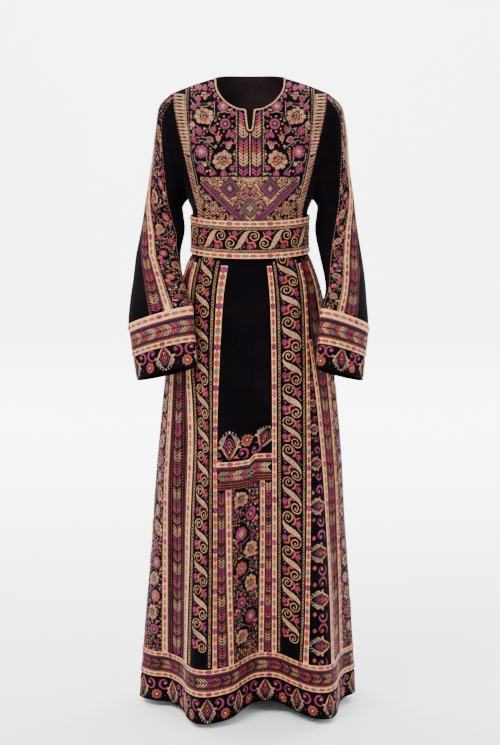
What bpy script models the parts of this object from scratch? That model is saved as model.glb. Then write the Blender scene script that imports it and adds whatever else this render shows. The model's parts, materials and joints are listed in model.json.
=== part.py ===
"""Palestinian thobe: a long velvet dress with embroidered panels and its own belt.

The dress is made as cloth walls. Frame: metres, +Z up, the front faces -Y and +X is the
viewer's right. The origin lies between the shoulders, where the wearer carries the dress.
Heights in the tables are counted from the lowest point of the hem and lowered to the
origin at the end. Angles round the body are in degrees: 0 at the front centre, +90 at +X.
"""

import math
from collections import namedtuple

import bpy
import numpy as np

# ---------------------------------------------------------------- driving sizes
SHOULDER_HEIGHT = 1.400   # origin above the hem
CLOTH = 0.0020            # wall of velvet with its embroidery
BELT_CLOTH = 0.0025
SEAM_GAP = 0.0003         # between neighbouring pieces
TAPE_CLOTH = 0.0012       # woven tape, laid on the panels
PIPING_RADIUS = 0.0022
PIPING_SIDES = 6
SHARPEST_MITRE = 0.6      # limits how far a sharp corner pushes the piping out
SHARP_EDGE = 50           # degrees: a sharper bend than this is shaded as an edge
MIRROR = np.array([-1.0, 1.0, 1.0])

BACK_TONE = (0.020, 0.014, 0.018)
PANEL_TONE = (0.150, 0.060, 0.070)
BAND_TONE = (0.190, 0.050, 0.080)
TAPE_TONE = (0.780, 0.560, 0.360)
PIPING_TONE = (0.620, 0.430, 0.240)

# ---------------------------------------------------------------- skirt tables
# Plain body of the skirt: an oval at each level, before the folds are added.
SkirtRing = namedtuple("SkirtRing", "level half_width front back")
SKIRT_RINGS = (
    SkirtRing(1.060, 0.1270, 0.1040, 0.0940),
    SkirtRing(1.043, 0.1285, 0.1055, 0.0960),
    SkirtRing(1.026, 0.1360, 0.1110, 0.1020),
    SkirtRing(0.985, 0.1510, 0.1160, 0.1080),
    SkirtRing(0.930, 0.1640, 0.1210, 0.1180),
    SkirtRing(0.850, 0.1770, 0.1270, 0.1320),
    SkirtRing(0.740, 0.1900, 0.1330, 0.1470),
    SkirtRing(0.590, 0.2040, 0.1410, 0.1640),
    SkirtRing(0.430, 0.2170, 0.1470, 0.1790),
    SkirtRing(0.230, 0.2330, 0.1520, 0.1920),
    SkirtRing(0.000, 0.2500, 0.1550, 0.2000),
)

# Folds: where each crest or hollow of the cloth reaches the hem, in plan, how far the hem
# is lifted there, and the level at which the fold starts to form.
Fold = namedtuple("Fold", "angle hem_x hem_y lift start")
FOLDS = (
    Fold(-180, 0.004, 0.186, 0.004, 0.70),
    Fold(-163, -0.074, 0.214, 0.000, 0.90),
    Fold(-146, -0.128, 0.156, 0.006, 0.60),
    Fold(-130, -0.190, 0.166, 0.000, 0.80),
    Fold(-114, -0.222, 0.104, 0.005, 0.60),
    Fold(-99, -0.250, 0.080, 0.001, 0.80),
    Fold(-85, -0.256, 0.034, 0.002, 0.70),
    Fold(-72, -0.224, -0.004, 0.003, 0.55),
    Fold(-62, -0.187, -0.014, 0.003, 0.55),
    Fold(-55, -0.166, -0.042, 0.002, 0.60),
    Fold(-49, -0.151, -0.078, 0.000, 0.70),
    Fold(-43, -0.142, -0.128, 0.000, 0.80),
    Fold(-37, -0.124, -0.168, 0.000, 0.90),
    Fold(-30, -0.100, -0.178, 0.000, 0.95),
    Fold(-20, -0.068, -0.167, 0.002, 0.95),
    Fold(-10, -0.036, -0.143, 0.007, 0.95),
    Fold(-3, -0.014, -0.103, 0.013, 0.95),
    Fold(3, 0.006, -0.076, 0.018, 0.95),
    Fold(10, 0.034, -0.066, 0.020, 0.95),
    Fold(17, 0.064, -0.070, 0.018, 0.95),
    Fold(26, 0.100, -0.106, 0.010, 0.90),
    Fold(34, 0.134, -0.138, 0.004, 0.85),
    Fold(42, 0.165, -0.148, 0.002, 0.85),
    Fold(50, 0.188, -0.126, 0.000, 0.75),
    Fold(57, 0.199, -0.086, 0.001, 0.65),
    Fold(64, 0.204, -0.038, 0.004, 0.55),
    Fold(71, 0.215, 0.000, 0.007, 0.55),
    Fold(81, 0.238, 0.030, 0.008, 0.60),
    Fold(91, 0.247, 0.066, 0.006, 0.70),
    Fold(104, 0.228, 0.110, 0.004, 0.70),
    Fold(118, 0.224, 0.172, 0.000, 0.85),
    Fold(134, 0.158, 0.154, 0.006, 0.60),
    Fold(150, 0.106, 0.208, 0.000, 0.85),
    Fold(165, 0.052, 0.184, 0.005, 0.60),
    Fold(180, 0.004, 0.186, 0.004, 0.70),
)
FOLD_GROWTH = 1.35        # folds deepen with this power towards the hem

# Strips of the skirt: the angle where each one starts at five levels, and its steps.
STRIP_LEVELS = (1.060, 0.860, 0.720, 0.400, 0.000)
Strip = namedtuple("Strip", "name steps waist hip thigh knee hem")
STRIPS = (
    Strip("back_left", 12, -180.0, -180.0, -180.0, -180.0, -180.0),
    Strip("floral_left", 5, -112.0, -110.0, -108.0, -105.0, -100.0),
    Strip("tape_side_left", 1, -84.0, -74.0, -69.7, -65.5, -66.0),
    Strip("chevron_left", 4, -80.0, -69.5, -64.5, -61.0, -62.5),
    Strip("tape_outer_left", 1, -68.0, -54.0, -46.5, -45.0, -48.5),
    Strip("scroll_left", 5, -62.3, -50.0, -42.4, -41.2, -44.5),
    Strip("tape_inner_left", 1, -27.8, -26.5, -25.7, -24.6, -25.0),
    Strip("chevron_mid_left", 1, -20.6, -21.5, -22.5, -22.0, -22.2),
    Strip("tape_mid_left", 1, -16.0, -16.0, -16.5, -15.5, -12.5),
    Strip("floral_mid", 5, -12.0, -12.4, -12.8, -12.0, -9.6),
    Strip("tape_mid_right", 1, 7.0, 7.0, 7.0, 7.2, 6.2),
    Strip("chevron_mid_right", 1, 10.4, 9.9, 9.7, 9.8, 8.6),
    Strip("tape_inner_right", 1, 16.0, 15.5, 15.1, 14.4, 13.4),
    Strip("scroll_right", 4, 20.5, 19.0, 18.1, 17.0, 16.0),
    Strip("tape_outer_right", 1, 53.3, 44.5, 40.8, 35.6, 29.5),
    Strip("wedge", 5, 57.0, 47.4, 43.4, 38.2, 32.2),
    Strip("tape_wedge_right", 1, 57.0, 47.4, 49.8, 52.4, 49.0),
    Strip("chevron_right", 4, 59.5, 50.4, 53.4, 56.2, 52.0),
    Strip("tape_side_right", 1, 70.0, 66.0, 66.5, 66.0, 67.0),
    Strip("floral_right", 5, 74.0, 70.0, 69.9, 69.0, 70.5),
    Strip("back_right", 12, 110.0, 108.0, 107.0, 104.0, 100.0),
)
WEDGE_TIP = 0.850         # level where the let-in wedge begins
WEDGE_POINT_DROP = 0.004  # its point stops this far below that level

# Levels of the cross rows of the skirt cloth.
BAND_TOP = 0.583
BAND_TAPE = 0.572
BAND_LOWER_TAPE = 0.531
BAND_BOTTOM = 0.520
BORDER_TOP = 0.1215
BORDER_LEVELS = (BORDER_TOP, 0.1120, 0.0725, 0.0610, 0.0300, 0.0000)
TAPE_START = 1.026        # tapes come out just under the belt
SKIRT_LEVELS = (1.060, 1.043, TAPE_START, 0.985, 0.930, WEDGE_TIP, 0.790, 0.720, 0.650,
                BAND_TOP, BAND_TAPE, BAND_LOWER_TAPE, BAND_BOTTOM, 0.420, 0.320, 0.220,
                BORDER_TOP)
BAND_STEP = 0.012         # the cross band sits higher right of the middle pleat
BAND_STEP_FROM = -1.0     # the step rises between these two angles
BAND_STEP_TO = 4.0
BAND_STEP_FADE = 24.0     # and is gone again between these two
BAND_STEP_END = 40.0
BAND_STEP_REACH = 0.14    # levels over which the step fades out
BAND_STEP_FULL = 0.6      # share of that reach over which it still grows

# ---------------------------------------------------------------- bodice tables
# The armhole is an oval that stands in an upright plane from armpit to shoulder tip.
ARMHOLE_X = 0.156
ARMHOLE_Z = 1.273
ARMHOLE_LEAN = 0.017
ARMHOLE_RISE = 0.118
ARMHOLE_DEPTH = 0.070
NECK_HALF_WIDTH = 0.0785
NECK_TOP = 1.425
NECK_BOTTOM = 1.352
NECK_BACK_Y = 0.060
NECK_BACK_Z = 1.428
SHOULDER_NECK = 0.435     # where the neck meets the shoulder seam, as a share of the row
SLIT_HALF_WIDTH = 0.0105
ROW_FALL = 1.6            # how the rows drop from the centre to the armhole
NECK_SEARCH_STEPS = 12    # rounds of the search for a row's start on the neckline
NECK_SEARCH_STEP = 0.01

# A row goes from the centre to the side: below the armpit to the side seam, above it to
# the armhole at the given angle (180 armpit, 0 shoulder tip). "turn" is how far the row
# has bent round the body there, and "panel" is the embroidered share of it.
BodiceRow = namedtuple("BodiceRow", "armhole side_x side_z centre_y centre_z turn panel")
FRONT_ROWS = (
    BodiceRow(None, 0.1270, 1.060, -0.1040, 1.060, 90, 0.66),
    BodiceRow(None, 0.1280, 1.100, -0.1055, 1.094, 90, 0.66),
    BodiceRow(None, 0.1295, 1.130, -0.1080, 1.118, 90, 0.65),
    BodiceRow(180, None, None, -0.1180, 1.148, 90, 0.66),
    BodiceRow(165, None, None, -0.1215, 1.170, 86, 0.71),
    BodiceRow(148, None, None, -0.1245, 1.191, 80, 0.76),
    BodiceRow(130, None, None, -0.1262, 1.212, 73, 0.83),
    BodiceRow(112, None, None, -0.1250, 1.241, 65, 0.91),
    BodiceRow(95, None, None, -0.1195, 1.276, 58, 1.00),
    BodiceRow(80, None, None, -0.1095, 1.309, 51, 1.00),
    BodiceRow(76, None, None, -0.1070, 1.315, 49, 1.00),
    BodiceRow(64, None, None, -0.0960, 1.334, 45, 1.00),
    BodiceRow(50, None, None, -0.0835, 1.352, 40, 1.00),
    BodiceRow(45, None, None, -0.0800, 1.357, 38, 1.00),
    BodiceRow(38, None, None, -0.0720, 1.368, 35, 1.00),
    BodiceRow(27, None, None, -0.0560, 1.388, 31, 1.00),
    BodiceRow(14, None, None, -0.0330, 1.409, 27, 1.00),
    BodiceRow(0, None, None, 0.0000, 1.437, 24, 1.00),
)
YOKE_ROW = 6              # seam between the chest panel and the waist panel
SIDE_TIP_ROW = 8          # the plain side piece ends in a point here
SLIT_ROW = 9              # the neck slit starts here
NECK_ROW = 12             # and opens into the round neck here
SLIT_OPEN_ROW = 10
SLIT_ROUND = 0.82         # share of the slit's width that is reached at its first row
BACK_ROWS = (
    BodiceRow(None, 0.1270, 1.060, 0.0940, 1.060, 90, 1.0),
    BodiceRow(None, 0.1280, 1.100, 0.0955, 1.100, 90, 1.0),
    BodiceRow(None, 0.1295, 1.130, 0.0980, 1.130, 90, 1.0),
    BodiceRow(180, None, None, 0.1060, 1.160, 90, 1.0),
    BodiceRow(155, None, None, 0.1110, 1.196, 80, 1.0),
    BodiceRow(130, None, None, 0.1150, 1.236, 70, 1.0),
    BodiceRow(105, None, None, 0.1160, 1.280, 60, 1.0),
    BodiceRow(80, None, None, 0.1130, 1.320, 52, 1.0),
    BodiceRow(55, None, None, 0.1040, 1.358, 45, 1.0),
    BodiceRow(36, None, None, 0.0930, 1.385, 38, 1.0),
    BodiceRow(20, None, None, 0.0790, 1.406, 32, 1.0),
    BodiceRow(8, None, None, 0.0670, 1.420, 28, 1.0),
    BodiceRow(0, None, None, 0.0000, 1.437, 24, 1.0),
)
PANEL_STEPS = 7           # columns from the centre to the edge of the front panels
SIDE_STEPS = 2
SIDE_TIP_SHARE = 0.85     # how far the side piece's point lies from its last row to the tip
NECK_STEPS = 4            # columns of the back from its centre to the neck corner
SIDE_SEAM_ROWS = 4        # rows from the belt to the armpit, along the side seam
RIDGE_FROM = -0.40        # how far two cloths must face each other to share one normal
RIDGE_TO = -0.10

# ---------------------------------------------------------------- sleeve tables
# Each ring of a sleeve goes from an outer to an inner point; depth is its half depth and
# pitch (degrees) lowers its back edge. The first ring is the armhole itself.
SleeveRing = namedtuple(
    "SleeveRing", "outer_x outer_y outer_z inner_x inner_y inner_z depth pitch")
LEFT_SLEEVE = (
    SleeveRing(0.198, 0.000, 1.367, 0.1440, 0.000, 1.149, 0.067, 0),
    SleeveRing(0.208, 0.000, 1.314, 0.1480, 0.000, 1.143, 0.063, 0),
    SleeveRing(0.217, 0.000, 1.243, 0.1500, 0.000, 1.136, 0.058, 0),
    SleeveRing(0.230, 0.000, 1.172, 0.1475, -0.005, 1.117, 0.053, 2),
    SleeveRing(0.244, 0.000, 1.090, 0.1450, -0.015, 1.086, 0.049, 4),
    SleeveRing(0.256, -0.005, 1.030, 0.1540, -0.035, 1.036, 0.047, 7),
    SleeveRing(0.262, -0.020, 0.977, 0.1480, -0.065, 0.987, 0.046, 10),
    SleeveRing(0.268, -0.036, 0.933, 0.1390, -0.092, 0.956, 0.044, 13),
    SleeveRing(0.271, -0.055, 0.879, 0.1265, -0.115, 0.926, 0.041, 15),
    SleeveRing(0.268, -0.060, 0.862, 0.1250, -0.117, 0.908, 0.041, 15),
    SleeveRing(0.2615, -0.067, 0.820, 0.1220, -0.122, 0.862, 0.040, 16),
    SleeveRing(0.259, -0.069, 0.808, 0.1210, -0.1235, 0.849, 0.040, 16),
    SleeveRing(0.251, -0.080, 0.759, 0.1160, -0.130, 0.797, 0.039, 16),
)
RIGHT_SLEEVE = (
    SleeveRing(0.200, 0.000, 1.367, 0.1440, 0.000, 1.150, 0.067, 0),
    SleeveRing(0.213, 0.000, 1.314, 0.1480, 0.000, 1.144, 0.063, 0),
    SleeveRing(0.219, 0.000, 1.243, 0.1500, 0.000, 1.137, 0.058, 0),
    SleeveRing(0.230, 0.000, 1.172, 0.1475, -0.005, 1.117, 0.053, 2),
    SleeveRing(0.241, 0.000, 1.090, 0.1450, -0.015, 1.084, 0.049, 4),
    SleeveRing(0.251, -0.005, 1.030, 0.1550, -0.035, 1.032, 0.046, 7),
    SleeveRing(0.258, -0.020, 0.977, 0.1640, -0.065, 0.989, 0.044, 10),
    SleeveRing(0.261, -0.036, 0.933, 0.1660, -0.092, 0.961, 0.042, 13),
    SleeveRing(0.264, -0.055, 0.879, 0.1560, -0.115, 0.921, 0.039, 15),
    SleeveRing(0.263, -0.060, 0.861, 0.1545, -0.117, 0.903, 0.039, 15),
    SleeveRing(0.258, -0.067, 0.820, 0.1510, -0.122, 0.858, 0.038, 16),
    SleeveRing(0.256, -0.069, 0.808, 0.1500, -0.1235, 0.845, 0.038, 16),
    SleeveRing(0.251, -0.080, 0.759, 0.1450, -0.130, 0.792, 0.037, 16),
)
CUFF_RING = 9             # the cuff starts at this ring, counted with the armhole as 0
CUFF_TAPE_RINGS = ((9, 10), (11, 12))

# Lines along a sleeve: angle round the ring (0 outer, 90 front, 180 inner) at the armhole
# and at four of its rings. The embroidered panel lies between "back" and "front", and a
# tape runs down it between "tape_back" and "tape_front".
SLEEVE_LINE_RINGS = (0, 3, 5, 7, 13)
SleeveLine = namedtuple("SleeveLine", "name armhole upper elbow forearm cuff")
LEFT_SLEEVE_LINES = (
    SleeveLine("back", -36, -30, 22, 58, 84),
    SleeveLine("tape_back", -20, -2, 50, 87, 108),
    SleeveLine("tape_front", -8, 14, 64, 98, 120),
    SleeveLine("front", 27, 84, 128, 172, 194),
    SleeveLine("armpit", 180, 180, 196, 218, 236),
)
RIGHT_SLEEVE_LINES = (
    SleeveLine("back", -36, -25, 20, 48, 74),
    SleeveLine("tape_back", -20, 0, 51, 82, 106),
    SleeveLine("tape_front", -8, 18, 65, 94, 118),
    SleeveLine("front", 27, 66, 98, 140, 178),
    SleeveLine("armpit", 180, 180, 190, 208, 228),
)
SLEEVE_TAPE_RING = 1      # the sleeve's tape starts at this ring, clear of the shoulder seam

# ---------------------------------------------------------------- belt
BELT_HALF_WIDTH = 0.1323
BELT_FRONT = 0.1118
BELT_BACK = 0.1013
BELT_BOTTOM = 1.043
BELT_HEIGHT = 0.082
BELT_TAPE = 0.012
BELT_DIP = 0.012          # the belt sinks at the front centre
BELT_DIP_POWER = 1.5
BELT_START = -172         # its inner end at the back
BELT_END = 196            # its outer end laps over the inner one
BELT_STEPS = 46
BELT_LAP_FROM = 150       # the lap rises clear of the inner end between these angles
BELT_LAP_FULL = 182
BELT_LAP_RISE = 0.0052


# ================================================================ helpers
def curve_through(keys, values, at):
    """Smooth curve (cubic, through every value) read at the given places."""
    keys = np.asarray(keys, float)
    values = np.asarray(values, float)
    slopes = np.gradient(values, keys, axis=0)
    at = np.clip(np.asarray(at, float), keys[0], keys[-1])
    i = np.clip(np.searchsorted(keys, at, side="right") - 1, 0, len(keys) - 2)
    span = keys[i + 1] - keys[i]
    t = (at - keys[i]) / span
    shape = t.shape + (1,) * (values.ndim - 1)
    t = t.reshape(shape)
    span = span.reshape(shape)
    return ((2 * t**3 - 3 * t**2 + 1) * values[i] + (t**3 - 2 * t**2 + t) * span * slopes[i]
            + (3 * t**2 - 2 * t**3) * values[i + 1] + (t**3 - t**2) * span * slopes[i + 1])


def smoothstep(low, high, value):
    t = np.clip((value - low) / (high - low), 0.0, 1.0)
    return t * t * (3.0 - 2.0 * t)


def unit(vectors):
    return vectors / np.maximum(np.linalg.norm(vectors, axis=-1, keepdims=True), 1e-12)


def grid_normals(points, closed_columns=False):
    """Normal at each point of a grid, from its rows crossed with its columns."""
    along = np.gradient(points, axis=0)
    if closed_columns:
        around = (np.roll(points, -1, axis=1) - np.roll(points, 1, axis=1)) / 2.0
    else:
        around = np.gradient(points, axis=1)
    return unit(np.cross(along, around))


def with_gaps(points, top=True, bottom=True, sides=True):
    """Draw the edges of a panel in by half a seam gap."""
    trimmed = points.copy()
    half = SEAM_GAP / 2.0
    if top:
        trimmed[0] += unit(points[1] - points[0]) * half
    if bottom:
        trimmed[-1] += unit(points[-2] - points[-1]) * half
    if sides:
        trimmed[:, 0] += unit(points[:, 1] - points[:, 0]) * half
        trimmed[:, -1] += unit(points[:, -2] - points[:, -1]) * half
    return trimmed


def material(name, tone):
    found = bpy.data.materials.new(name)
    found.use_nodes = True
    shader = found.node_tree.nodes["Principled BSDF"]
    shader.inputs["Base Color"].default_value = (*tone, 1.0)
    shader.inputs["Roughness"].default_value = 0.85
    shader.inputs["Metallic"].default_value = 0.0
    return found


def add_mesh(name, points, faces, tone):
    points = np.asarray(points, float) - np.array([0.0, 0.0, SHOULDER_HEIGHT])
    mesh = bpy.data.meshes.new(name)
    mesh.from_pydata([tuple(p) for p in points], [], faces)
    mesh.validate()
    mesh.update()
    mesh.shade_smooth()
    mesh.set_sharp_from_angle(angle=math.radians(SHARP_EDGE))
    mesh.materials.append(material(name, tone))
    thing = bpy.data.objects.new(name, mesh)
    bpy.context.collection.objects.link(thing)
    return thing


def signed_volume(points, faces):
    total = 0.0
    for face in faces:
        first = points[face[0]]
        for b, c in zip(face[1:-1], face[2:]):
            total += np.dot(first, np.cross(points[b], points[c]))
    return total / 6.0


def add_wall(name, outer, inner, tone, closed_columns=False, keep_cell=None):
    """Closed cloth wall between two grids of points; equal points are joined."""
    rows, columns = outer.shape[:2]
    cells = []
    for r in range(rows - 1):
        for c in range(columns if closed_columns else columns - 1):
            n = (c + 1) % columns
            cells.append((r * columns + c, (r + 1) * columns + c,
                          (r + 1) * columns + n, r * columns + n))
    if keep_cell is not None:
        cells = [cell for cell in cells if keep_cell(cell[0] // columns, cell[0] % columns)]
    add_shell(name, outer.reshape(-1, 3), inner.reshape(-1, 3), cells, tone)


def add_shell(name, outer, inner, cells, tone):
    """Closed solid from outer cells, the same cells on the inside, and its rim."""
    lookup = {}
    merged = []

    def vertex(layer, index):
        point = (outer, inner)[layer][index]
        key = (layer,) + tuple(np.round(point, 7))
        if key not in lookup:
            lookup[key] = len(merged)
            merged.append(point)
        return lookup[key]

    faces = []
    edges = {}
    for cell in cells:
        face = []
        for index in cell:
            corner = vertex(0, index), vertex(1, index)
            if corner not in face:
                face.append(corner)
        if len(face) < 3:
            continue
        for second, third in zip(face[1:-1], face[2:]):
            faces.append([face[0][0], second[0], third[0]])
            faces.append([face[0][1], third[1], second[1]])
        for start, end in zip(face, face[1:] + face[:1]):
            if (end, start) in edges:
                del edges[(end, start)]
            else:
                edges[(start, end)] = True
    points = np.array(merged)
    for start, end in edges:
        if tuple(points[start[0]]) < tuple(points[end[0]]):
            faces += [[end[0], start[0], end[1]], [start[0], start[1], end[1]]]
        else:
            faces += [[end[0], start[0], start[1]], [end[0], start[1], end[1]]]
    if signed_volume(points, faces) < 0:
        faces = [list(reversed(face)) for face in faces]
    return add_mesh(name, points, faces, tone)


def lay_on(name, points, normals, thickness, tone, closed_columns=False):
    """Tape or trim: the panel's own points, moved out."""
    add_wall(name, points + normals * (SEAM_GAP + thickness), points + normals * SEAM_GAP,
             tone, closed_columns)


# ================================================================ skirt
def skirt_base(angle, level):
    ring = curve_through([r.level for r in SKIRT_RINGS[::-1]],
                         [r[1:] for r in SKIRT_RINGS[::-1]], level)
    turn = np.radians(angle)
    depth = np.where(np.cos(turn) > 0, ring[..., 1], ring[..., 2])
    return np.stack([ring[..., 0] * np.sin(turn), -depth * np.cos(turn)], axis=-1)


def skirt_surface(angle, level):
    """Points of the skirt's outer face."""
    angle, level = np.broadcast_arrays(np.asarray(angle, float), np.asarray(level, float))
    keys = [f.angle for f in FOLDS]
    fold = curve_through(keys, [f[1:] for f in FOLDS], angle)
    hem = skirt_base(angle, np.zeros_like(level))
    start = fold[..., 3]
    growth = np.clip((start - level) / start, 0.0, 1.0) ** FOLD_GROWTH
    flat = skirt_base(angle, level) + (fold[..., 0:2] - hem) * growth[..., None]
    rise = fold[..., 2] * growth - belt_dip(angle) * dip_share(level)
    return np.concatenate([flat, (level + rise)[..., None]], axis=-1)


def dip_share(level):
    """The skirt's fullness starts along the belt's lower edge, which dips in front."""
    return smoothstep(SKIRT_RINGS[0].level, SKIRT_RINGS[1].level, level) * smoothstep(
        SKIRT_RINGS[4].level, SKIRT_RINGS[2].level, level)


def belt_dip(angle):
    return BELT_DIP * np.clip((1 + np.cos(np.radians(angle))) / 2, 0, 1) ** BELT_DIP_POWER


def band_step(angle, level):
    """The cross band climbs a little past the middle pleat, and fades out above and below."""
    near = np.clip(1.0 - np.abs(level - (BAND_TOP + BAND_BOTTOM) / 2) / BAND_STEP_REACH, 0, 1)
    middle = smoothstep(BAND_STEP_FROM, BAND_STEP_TO, angle)
    middle = middle * smoothstep(BAND_STEP_END, BAND_STEP_FADE, angle)
    return BAND_STEP * middle * smoothstep(0.0, BAND_STEP_FULL, near)


def strip_columns():
    """Angles of every column at the strip levels, and where each strip starts."""
    starts = {}
    columns = []
    ends = STRIPS[1:] + (Strip("end", 0, 180.0, 180.0, 180.0, 180.0, 180.0),)
    for strip, following in zip(STRIPS, ends):
        starts[strip.name] = len(columns)
        for step in range(strip.steps):
            share = step / strip.steps
            columns.append([a + (b - a) * share for a, b in zip(strip[2:], following[2:])])
    starts["end"] = len(columns)
    columns.append([180.0] * len(STRIP_LEVELS))
    return np.array(columns), starts


def skirt_grid(levels):
    columns, starts = strip_columns()
    rows = []
    for level in levels:
        angles = np.array([np.interp(level, STRIP_LEVELS[::-1], column[::-1])
                           for column in columns])
        step = band_step(angles, level)
        rows.append(skirt_surface(angles, level + step))
    points = np.array(rows)
    normals = grid_normals(points)
    seam = unit(normals[:, 0] + normals[:, -1])
    normals[:, 0] = seam
    normals[:, -1] = seam
    return points, normals, starts


def add_skirt_panel(name, grid, first, last, top, bottom, tone, tip=False):
    points, normals, starts = grid
    columns = slice(starts[first], starts[last] + 1)
    rows = slice(SKIRT_LEVELS.index(top), SKIRT_LEVELS.index(bottom) + 1)
    outer = with_gaps(points[rows, columns])
    inward = normals[rows, columns]
    if tip:
        down = unit(outer[1] - outer[0]).mean(axis=0)
        outer[0] = outer[0].mean(axis=0) + down * WEDGE_POINT_DROP
        inward = inward.copy()
        inward[0] = unit(inward[0].mean(axis=0))
    add_wall(name, outer, outer - inward * CLOTH, tone)


def add_skirt():
    grid = skirt_grid(SKIRT_LEVELS)
    waist, border = SKIRT_LEVELS[0], BORDER_TOP
    panels = (
        ("skirt_back_left", "back_left", "floral_left", waist, border, BACK_TONE),
        ("skirt_side_left", "floral_left", "scroll_left", waist, border, PANEL_TONE),
        ("skirt_scroll_left", "scroll_left", "tape_inner_left", waist, border, PANEL_TONE),
        ("skirt_front_velvet", "tape_inner_left", "scroll_right", waist, BAND_TOP, BACK_TONE),
        ("skirt_front_band", "tape_inner_left", "scroll_right", BAND_TOP, BAND_BOTTOM,
         BAND_TONE),
        ("skirt_front_lower", "tape_inner_left", "scroll_right", BAND_BOTTOM, border,
         PANEL_TONE),
        ("skirt_scroll_right", "scroll_right", "wedge", waist, border, PANEL_TONE),
        ("skirt_side_right", "tape_wedge_right", "back_right", waist, border, PANEL_TONE),
        ("skirt_back_right", "back_right", "end", waist, border, BACK_TONE),
    )
    for name, first, last, top, bottom, tone in panels:
        add_skirt_panel(name, grid, first, last, top, bottom, tone)
    add_skirt_panel("skirt_wedge_right", grid, "wedge", "tape_wedge_right", WEDGE_TIP, border,
                    BACK_TONE, tip=True)
    add_skirt_tapes(grid)
    add_hem_border()


def add_skirt_tapes(grid):
    points, normals, starts = grid
    uprights = (
        ("tape_side_left", TAPE_START, BORDER_TOP),
        ("tape_outer_left", TAPE_START, BORDER_TOP),
        ("tape_inner_left", TAPE_START, BORDER_TOP),
        ("tape_mid_left", BAND_BOTTOM, BORDER_TOP),
        ("tape_mid_right", BAND_BOTTOM, BORDER_TOP),
        ("tape_inner_right", TAPE_START, BORDER_TOP),
        ("tape_outer_right", TAPE_START, BORDER_TOP),
        ("tape_wedge_right", WEDGE_TIP, BORDER_TOP),
        ("tape_side_right", TAPE_START, BORDER_TOP),
    )
    for name, top, bottom in uprights:
        rows = slice(SKIRT_LEVELS.index(top), SKIRT_LEVELS.index(bottom) + 1)
        columns = slice(starts[name], starts[name] + 2)
        lay_on(name, with_gaps(points[rows, columns]), normals[rows, columns], TAPE_CLOTH,
               TAPE_TONE)
    for name, top, bottom in (("tape_band_top", BAND_TOP, BAND_TAPE),
                              ("tape_band_bottom", BAND_LOWER_TAPE, BAND_BOTTOM)):
        rows = slice(SKIRT_LEVELS.index(top), SKIRT_LEVELS.index(bottom) + 1)
        columns = slice(starts["chevron_mid_left"], starts["tape_inner_right"] + 1)
        lay_on(name, with_gaps(points[rows, columns]), normals[rows, columns], TAPE_CLOTH,
               TAPE_TONE)


def add_hem_border():
    """Deep embroidered band round the hem, joined at the side seams, with two tapes."""
    points, normals, starts = skirt_grid(BORDER_LEVELS)
    side_left, side_right = starts["floral_left"], starts["back_right"]
    front = slice(side_left, side_right + 1)
    back_order = list(range(side_right, starts["end"])) + list(range(0, side_left + 1))
    for name, columns in (("hem_border_front", front), ("hem_border_back", back_order)):
        outer = with_gaps(points[:, columns], bottom=False)
        add_wall(name, outer, outer - normals[:, columns] * CLOTH, BAND_TONE)
    ring = slice(0, starts["end"])
    for name, rows in (("tape_hem_top", slice(0, 2)), ("tape_hem_lower", slice(2, 4))):
        cloth = with_gaps(points[rows, ring], bottom=False, sides=False)
        lay_on(name, cloth, normals[rows, ring], TAPE_CLOTH, TAPE_TONE, closed_columns=True)


# ================================================================ bodice
def armhole_point(angle):
    """Point of the +X armhole; angle 0 shoulder tip, 90 front, 180 armpit, below 0 back."""
    turn = np.radians(angle)
    return np.stack([ARMHOLE_X + ARMHOLE_LEAN * np.cos(turn), -ARMHOLE_DEPTH * np.sin(turn),
                     ARMHOLE_Z + ARMHOLE_RISE * np.cos(turn)], axis=-1)


def row_points(row, shares, back=False):
    """Points of one bodice row on the +X side, for shares 0 (centre) to 1 (edge)."""
    shares = np.asarray(shares, float)
    if row.armhole is None:
        edge = np.array([row.side_x, 0.0, row.side_z])
    else:
        edge = armhole_point(-row.armhole if back else row.armhole)
    full = math.radians(row.turn)
    bend = shares * full
    across = np.sin(bend) / math.sin(full)
    fall = (np.cos(bend) - math.cos(full)) / (1.0 - math.cos(full))
    x = edge[0] * across
    y = edge[1] + (row.centre_y - edge[1]) * fall
    z = row.centre_z + (edge[2] - row.centre_z) * across ** ROW_FALL
    points = np.stack([x, y, z], axis=-1)
    if back and row.armhole == 0:
        curl = np.clip(1.0 - shares / SHOULDER_NECK, 0.0, 1.0)
        points[..., 1] += NECK_BACK_Y * np.sqrt(np.clip(1 - (1 - curl) ** 2, 0, 1))
        points[..., 2] += (NECK_BACK_Z - row.centre_z) * smoothstep(0.0, 1.0, curl)
    return points


def inner_share(row, number):
    """Where a front row starts: the centre, the slit's edge or the neckline."""
    if number <= SLIT_ROW:
        return 0.0
    slit = SLIT_HALF_WIDTH * (SLIT_ROUND if number == SLIT_OPEN_ROW else 1.0)
    share = 0.0
    for _ in range(NECK_SEARCH_STEPS):
        point = row_points(row, np.array([share]))[0]
        drop = np.clip((NECK_TOP - point[2]) / (NECK_TOP - NECK_BOTTOM), 0.0, 1.0)
        wanted = NECK_HALF_WIDTH * math.sqrt(1.0 - drop * drop) if number > NECK_ROW else slit
        ahead = row_points(row, np.array([share + NECK_SEARCH_STEP]))[0]
        share += (wanted - point[0]) * NECK_SEARCH_STEP / max(ahead[0] - point[0], 1e-5)
    return SHOULDER_NECK if row.armhole == 0 else share


def front_half():
    """Chest panel, waist panel and side piece grids on the +X side, with normals."""
    rows = []
    for number, row in enumerate(FRONT_ROWS):
        start = inner_share(row, number)
        panel = np.linspace(start, row.panel, PANEL_STEPS + 1)
        side = np.linspace(row.panel, 1.0, SIDE_STEPS + 1)[1:]
        rows.append(row_points(row, np.concatenate([panel, side])))
    return np.array(rows)


def back_half():
    shares = np.concatenate([np.linspace(0.0, SHOULDER_NECK, NECK_STEPS + 1),
                             np.linspace(SHOULDER_NECK, 1.0, PANEL_STEPS + 1)[1:]])
    return np.array([row_points(row, shares, back=True) for row in BACK_ROWS])


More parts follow.
